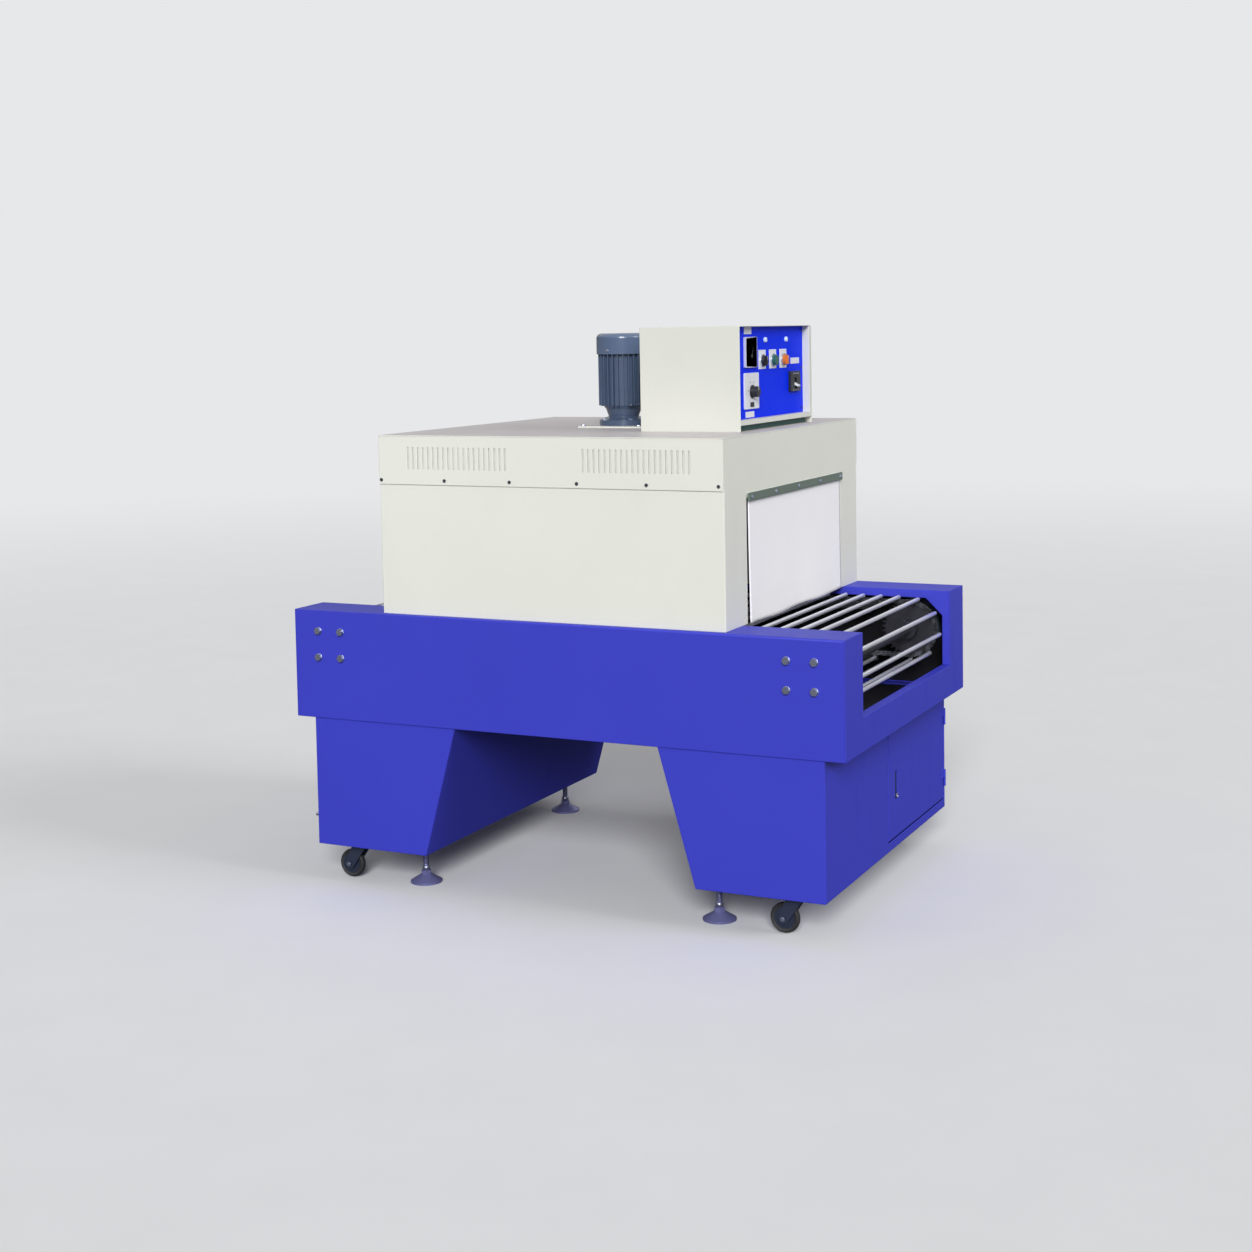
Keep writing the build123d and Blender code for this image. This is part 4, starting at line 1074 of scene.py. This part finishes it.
class TUNNEL_OT_fan_motor(Operation):
    """Finish the fan motor, and add its bolts"""

    bl_idname = "tunnel.fan_motor"
    bl_label = "Fan Motor"

    def make(self):
        slate = self.paint("motor_slate")
        wear(cast_paint("motor_enamel", slate, 0.17, 0.00012), "motor_body")
        # Painted light: the cowl is the motor's enamel made 1.3 times lighter.
        wear(cast_paint("lit_cowl_enamel", shade(slate, 1.3), 0.16, 0.00004), "fan_cowl")
        wear(bpy.data.materials["tunnel_paint"], "motor_plate")
        soften(0.0008, "motor_plate")
        self.bolts()

    def bolts(self):
        """Bolts through the flange, the plate's corners, the end bell and the cowl."""
        size = self.fasteners.motor_bolt
        heads = bmesh.new()
        flange_top = plate_high.z + 0.014
        for k in range(4):
            turn = math.radians(45 + 90 * k)
            spot = Vector((math.cos(turn), math.sin(turn), 0))
            foot = Vector((motor_centre.x, motor_centre.y, flange_top)) + spot * 0.0555
            add_head(heads, facing_plane(foot, (0, 0, 1), turn), size, 0.0055, 6, 0)
            corner = Vector((motor_centre.x, motor_centre.y, plate_high.z))
            corner += Vector((math.copysign(0.082, spot.x), math.copysign(0.082, spot.y), 0))
            add_head(heads, facing_plane(corner, (0, 0, 1), k), 0.0055, 0.0042, 6, 0)
            rim = Vector((motor_centre.x, motor_centre.y, flange_top + 0.0445))
            up = facing_plane(rim + spot * 0.0605, (0, 0, -1), 0.4)
            add_head(heads, up, 0.005, 0.006, 6, 0)
        for k in range(3):
            turn = math.radians(-100 + 120 * k)
            out = Vector((math.cos(turn), math.sin(turn), 0))
            side = Vector((motor_centre.x, motor_centre.y, cowl_low.z + 0.010))
            side += out * ((cowl_high.x - cowl_low.x) / 2 - 0.0004)
            add_head(heads, facing_plane(side, out, k), 0.0042, 0.0022, 12, 0.5)
        piece("motor_bolts", "machine", self.zinc(), closed(heads), 35)


class TUNNEL_OT_control_box(Operation):
    """Paint the control box and its panel, and add bare plates, screws and dials"""

    bl_idname = "tunnel.control_box"
    bl_label = "Control Box"

    def make(self):
        # The box paint darkens its upward faces with painted shade.
        cream = powder_coat(
            "box_paint", self.paint("box_cream"), 0.4, dust=self.paint("roof_shade"), wear=0.35
        )
        wear(cream, "control_box")
        soften(0.0008, "control_box")
        face = powder_coat("panel_paint", self.paint("panel_blue"), 0.4, wear=0.1, specular=0.06)
        wear(face, "control_panel")
        self.painted_shadow_strip()
        white = self.shared("white_plate", moulded, self.fitting("plate_white"), 0.35)
        grey = moulded("controller_plastic", self.fitting("controller_grey"), 0.4)
        black = self.shared("black_plastic", moulded, self.fitting("control_black"), 0.35)
        chrome = self.shared("bright_chrome", drawn_steel, linear((0.86, 0.88, 0.9)), (1, 1, 1), 0.12)
        wear(grey, "temperature_controller")
        wear(white, "speed_controller", "breaker_lever")
        wear(black, "speed_knob", "fan_switch", "breaker")
        wear(chrome, "switch_bezels")
        green = moulded("green_button", self.fitting("button_green"), 0.3, Coat_Weight=0.3)
        orange = moulded("orange_knob", self.fitting("knob_orange"), 0.32, Coat_Weight=0.3)
        wear(green, "start_button")
        wear(orange, "heater_switch")
        lamp = moulded(
            "lamp_lens", self.fitting("lamp_white"), 0.12, Coat_Weight=0.6, Coat_Roughness=0.05
        )
        wear(lamp, "pilot_lamps")
        soften(0.0006, "temperature_controller", "speed_controller", "breaker")
        self.legend_plates(white)
        self.bare_labels(white)
        self.panel_screws()
        self.speed_dial(black)
        self.thermostat_face(black, white)
        self.pointers(white)
        self.breaker_details(black)

    def painted_shadow_strip(self):
        """A dark green strip along the back of the recess under the box's front: a painted shadow
        between the box and the roof.
        """
        shape = bmesh.new()
        centre = (box_high.x - 0.0192, (box_low.y + box_high.y) / 2, box_low.z + 0.008)
        add_block(shape, (0.0014, box_high.y - box_low.y - 0.006, 0.0150), centre, 0.0004)
        rubber = moulded("shadow_strip_paint", self.fitting("shadow_green"), 0.7)
        piece("painted_shadow_strip", "machine", rubber, closed(shape))

    def switch_places(self):
        """The centres of the three switches on the panel's face."""
        for name in ("fan_switch", "start_button", "heater_switch"):
            low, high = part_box(name)
            yield Vector((panel_high.x, (low.y + high.y) / 2, (low.z + high.z) / 2))

    def legend_plates(self, white):
        """A bare plate round each switch: a square sheet with a round hole."""
        shape = bmesh.new()
        for centre in self.switch_places():
            place = facing_plane(centre + Vector((0.0001, 0, 0)), (1, 0, 0))
            hole = bmesh.ops.create_circle(shape, segments=32, radius=0.0172, matrix=place)["verts"]
            rim = bmesh.ops.create_circle(shape, segments=32, radius=1.0, matrix=place)["verts"]
            for vertex in rim:
                ray = vertex.co - place.translation
                vertex.co = place.translation + ray * (0.0248 / max(abs(ray.y), abs(ray.z)))
            bmesh.ops.translate(shape, verts=rim, vec=(0, 0, 0.0035))
            loops = {edge for vertex in hole + rim for edge in vertex.link_edges}
            sheet = bmesh.ops.bridge_loops(shape, edges=list(loops))["faces"]
            front = bmesh.ops.extrude_face_region(shape, geom=sheet)["geom"]
            lifted = [item for item in front if isinstance(item, bmesh.types.BMVert)]
            bmesh.ops.translate(shape, verts=lifted, vec=(0.001, 0, 0))
        piece("legend_plates", "machine", white, closed(shape))

    def bare_labels(self, white):
        """Plain plates where the panel carries labels."""
        shape = bmesh.new()
        for y0, y1, z0, z1 in (
            millimetres(-170, -120, 1439, 1457),
            millimetres(-165, -107, 1227, 1242),
            millimetres(160, 224, 1357, 1373),
        ):
            centre = (panel_high.x + 0.0003, (y0 + y1) / 2, (z0 + z1) / 2)
            add_block(shape, (0.0008, y1 - y0, z1 - z0), centre, 0.0003)
        piece("bare_labels", "machine", white, closed(shape))

    def panel_screws(self):
        """Six small dark screws round the panel."""
        shape = bmesh.new()
        for y in (panel_low.y + 0.009, panel_high.y - 0.012):
            for z in (panel_low.z + 0.012, 1.345, panel_high.z - 0.012):
                place = facing_plane((panel_high.x, y, z), (1, 0, 0), y + z)
                add_head(
                    shape, place, self.fasteners.small_screw, 0.0018, self.fasteners.head_sides
                )
        dark = self.shared("dark_screws", zinc_plate, linear((0.34, 0.35, 0.38)), 0.4)
        piece("panel_screws", "machine", dark, closed(shape), 35)

    def add_number(self, shape, text, place, height):
        """A number as a thin raised mesh."""
        curve = bpy.data.curves.new("dial_number", "FONT")
        curve.body = text
        curve.size = height
        curve.align_x = "CENTER"
        curve.align_y = "CENTER"
        curve.extrude = 0.00015
        curve.resolution_u = 2
        holder = bpy.data.objects.new("dial_number", curve)
        flat = bpy.data.meshes.new_from_object(holder)
        flat.transform(place)
        shape.from_mesh(flat)
        bpy.data.meshes.remove(flat)
        bpy.data.objects.remove(holder)
        bpy.data.curves.remove(curve)

    def speed_dial(self, black):
        """Ticks and numbers round the speed knob, and a rocker below."""
        low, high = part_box("speed_knob")
        centre = Vector((speed_high.x, (low.y + high.y) / 2, (low.z + high.z) / 2))
        place = facing_plane(centre, (1, 0, 0))
        ticks = bmesh.new()
        for k in range(11):
            turn = math.radians(230 - 28 * k)
            spoke = place @ Matrix.Rotation(turn, 4, "Z")
            size = (0.0042 if k % 2 == 0 else 0.0026, 0.0007, 0.0002)
            add_block(ticks, size, (0.0215, 0, 0), place=spoke)
            if k % 2 == 0:
                spot = place @ Matrix.Translation(
                    (0.0275 * math.cos(turn), 0.0275 * math.sin(turn), 0)
                )
                self.add_number(ticks, str(k * 10), spot, 0.0055)
        edge = Vector((speed_high.x, speed_low.y, speed_low.z))
        add_block(ticks, (0.004, 0.020, 0.012), edge + Vector((0.001, 0.046, 0.0115)), 0.0008)
        piece("speed_scale", "machine", black, ticks)

    def thermostat_face(self, black, white):
        """A pale scale with ticks, a pointer and its boss."""
        centre = (thermo_low + thermo_high) / 2
        centre.x = thermo_high.x - 0.0004
        place = facing_plane(centre, (1, 0, 0))
        card = bmesh.new()
        half = (thermo_high.y - thermo_low.y) / 2 - 0.008
        depth = Vector((0.0006, 0, 0))
        add_block(card, (0.0012, 2 * half, 2 * half), centre - depth, 0.0003)
        piece("thermostat_card", "machine", white, closed(card))
        marks = bmesh.new()
        pivot = place @ Matrix.Translation((0, -0.010, 0.0004))
        for k in range(9):
            turn = math.radians(150 - 15 * k)
            spoke = pivot @ Matrix.Rotation(turn, 4, "Z")
            add_block(marks, (0.004, 0.0006, 0.0002), (0.026, 0, 0), place=spoke)
        needle = pivot @ Matrix.Rotation(math.radians(68), 4, "Z")
        add_block(marks, (0.020, 0.0009, 0.0006), (0.010, 0, 0.0006), place=needle)
        add_turned(
            marks,
            pivot,
            [(0, 0), (0.0052, 0), (0.0052, 0.0012), (0.004, 0.0018), (0, 0.0018)],
            20,
        )
        piece("thermostat_marks", "machine", black, closed(marks))

    def pointers(self, white):
        """White pointer lines on the knobs, which turn with them."""
        for body, node, offset in (
            ("speed_dial", "speed_knob", 0.0),
            ("fan_selector", "fan_switch", 0.0),
            ("heater_selector", "heater_switch", 0.0),
        ):
            low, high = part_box(node)
            shape = bmesh.new()
            reach = (high.z - low.z) / 2
            centre = Vector((high.x + 0.0001 - 0.0003, (low.y + high.y) / 2, (low.z + high.z) / 2))
            centre.z += reach * 0.5
            add_block(shape, (0.0008, 0.0014, reach * 0.62), centre, 0.0002)
            piece(f"{node}_pointer", body, white, closed(shape))

    def breaker_details(self, black):
        """Terminal screws above and below the breaker's slot."""
        low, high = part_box("breaker")
        shape = bmesh.new()
        middle = (low.y + high.y) / 2
        for z in (low.z + 0.004, high.z - 0.006):
            for across in (-0.016, 0.0, 0.016):
                centre = (high.x - 0.0004, middle + across, z)
                add_head(shape, facing_plane(centre, (1, 0, 0)), 0.0026, 0.0012, 12, 0.5)
        piece("breaker_screws", "machine", self.zinc(), closed(shape), 35)


class TUNNEL_OT_stage(Operation):
    """Set up the floor, the lamps, the background and the camera"""

    bl_idname = "tunnel.stage"
    bl_label = "Stage"

    backdrop = (0.80, 0.805, 0.82, 1)

    def make(self):
        self.floor()
        self.lamp("front_lamp", (0.42, -1.0, 0.5), self.stage.front_light, 22)
        self.lamp("end_lamp", (1.0, 0.0, 0.5), self.stage.end_light, 22)
        self.sky()
        self.camera()
        bpy.context.scene.view_settings.view_transform = "Standard"

    def ray(self, finish, kind):
        """1 for rays of one kind, 0 for all others."""
        return finish.node("ShaderNodeLightPath", output=f"Is {kind} Ray")

    def floor(self):
        """A pale floor that keeps the shadow and fades into the background far away."""
        shape = bmesh.new()
        bmesh.ops.create_circle(
            shape, cap_ends=True, segments=96, radius=self.stage.floor_radius
        )
        mesh = bpy.data.meshes.new("floor")
        shape.to_mesh(mesh)
        shape.free()
        floor = bpy.data.objects.new("floor", mesh)
        bpy.context.scene.collection.objects.link(floor)
        finish = Finish("pale_floor")
        fine = finish.noise(4.0, 4.0)
        pale = finish.mix(fine, (0.86, 0.865, 0.88, 1), (0.90, 0.905, 0.92, 1))
        tone = finish.mix(self.ray(finish, "Camera"), (0.20, 0.20, 0.21, 1), pale)
        matt = finish.node("ShaderNodeBsdfDiffuse", {}, {"Color": tone})
        glow = finish.node("ShaderNodeEmission", {}, {"Color": self.backdrop})
        away = finish.node(
            "ShaderNodeVectorMath", {"operation": "LENGTH"}, {0: finish.place}, output="Value"
        )
        fade = finish.step(away, 4.0, 14.0)
        mixed = finish.node("ShaderNodeMixShader", {}, {0: fade, 1: matt, 2: glow})
        finish.node("ShaderNodeOutputMaterial", {}, {"Surface": mixed})
        mesh.materials.append(finish.material)

    def lamp(self, name, towards, strength, spread):
        """An even, soft lamp that shines from a direction."""
        light = bpy.data.lights.new(name, "SUN")
        light.energy = strength
        light.angle = math.radians(spread)
        lamp = bpy.data.objects.new(name, light)
        lamp.matrix_world = facing_plane(Vector(towards) * 5, towards)
        bpy.context.scene.collection.objects.link(lamp)

    def sky(self):
        """An even background, which lights the machine evenly and mirrors as a bright ceiling."""
        world = bpy.data.worlds.new("backdrop")
        world.use_nodes = True
        bpy.context.scene.world = world
        finish = Finish.__new__(Finish)
        finish.tree = world.node_tree
        finish.tree.nodes.clear()
        seen = self.ray(finish, "Camera")
        mirrored = self.ray(finish, "Glossy")
        height = finish.axis("Z", finish.node("ShaderNodeTexCoord", output="Generated"))
        ceiling = finish.step(height, 0.05, 0.65) * 0.95 + 0.16
        even = self.stage.sky_light
        strength = (even + mirrored * (ceiling - even)) * (1 - seen) + seen
        colour = finish.mix(seen, (1, 1, 1, 1), self.backdrop)
        shader = finish.node("ShaderNodeBackground", {}, {"Color": colour, "Strength": strength})
        finish.node("ShaderNodeOutputWorld", {}, {"Surface": shader})

    def camera(self):
        """The camera, at the photographed angle."""
        stage = self.stage
        back = Vector(
            (
                math.sin(stage.azimuth) * math.cos(stage.pitch),
                -math.cos(stage.azimuth) * math.cos(stage.pitch),
                math.sin(stage.pitch),
            )
        )
        right = Vector((math.cos(stage.azimuth), math.sin(stage.azimuth), 0))
        up = back.cross(right)
        leaned = right * math.cos(stage.roll) + up * math.sin(stage.roll)
        turned = Matrix((leaned, back.cross(leaned), back)).transposed().to_4x4()
        data = bpy.data.cameras.new("camera")
        data.lens = stage.lens
        data.sensor_width = 36.0
        data.shift_y = stage.rise
        camera = bpy.data.objects.new("camera", data)
        camera.matrix_world = Matrix.Translation(stage.camera_place) @ turned
        bpy.context.scene.collection.objects.link(camera)
        bpy.context.scene.camera = camera


operators = (
    TUNNEL_OT_conveyor_frame,
    TUNNEL_OT_chains,
    TUNNEL_OT_pedestals,
    TUNNEL_OT_feet,
    TUNNEL_OT_casters,
    TUNNEL_OT_hood,
    TUNNEL_OT_curtains,
    TUNNEL_OT_fan_motor,
    TUNNEL_OT_control_box,
    TUNNEL_OT_stage,
)
settings = {
    "tunnel_paints": PaintColours,
    "tunnel_fittings": FittingColours,
    "tunnel_fasteners": FastenerSizes,
    "tunnel_cloth": ClothSizes,
    "tunnel_stage": StageSettings,
}


class TUNNEL_PT_sidebar(Panel):
    """Buttons that build the machine's pieces, and the sizes and colours they use"""

    bl_idname = "TUNNEL_PT_sidebar"
    bl_label = "Shrink Tunnel"
    bl_space_type = "VIEW_3D"
    bl_region_type = "UI"
    bl_category = "Shrink Tunnel"

    def draw(self, context):
        for operator in operators:
            self.layout.operator(operator.bl_idname)
        for name, group in settings.items():
            box = self.layout.box()
            for field in group.__annotations__:
                box.prop(getattr(context.scene, name), field)


def register():
    """Add the classes and their settings."""
    for group in settings.values():
        bpy.utils.register_class(group)
    for item in operators + (TUNNEL_PT_sidebar,):
        bpy.utils.register_class(item)
    for name, group in settings.items():
        setattr(bpy.types.Scene, name, PointerProperty(type=group))


def unregister():
    """Take the classes and their settings away again."""
    for name in settings:
        delattr(bpy.types.Scene, name)
    for item in (TUNNEL_PT_sidebar,) + operators[::-1]:
        bpy.utils.unregister_class(item)
    for group in settings.values():
        bpy.utils.unregister_class(group)


def main():
    """Register the classes and build every piece."""
    register()
    for operator in operators:
        group, name = operator.bl_idname.split(".")
        getattr(getattr(bpy.ops, group), name)()


if __name__ == "__main__":
    main()
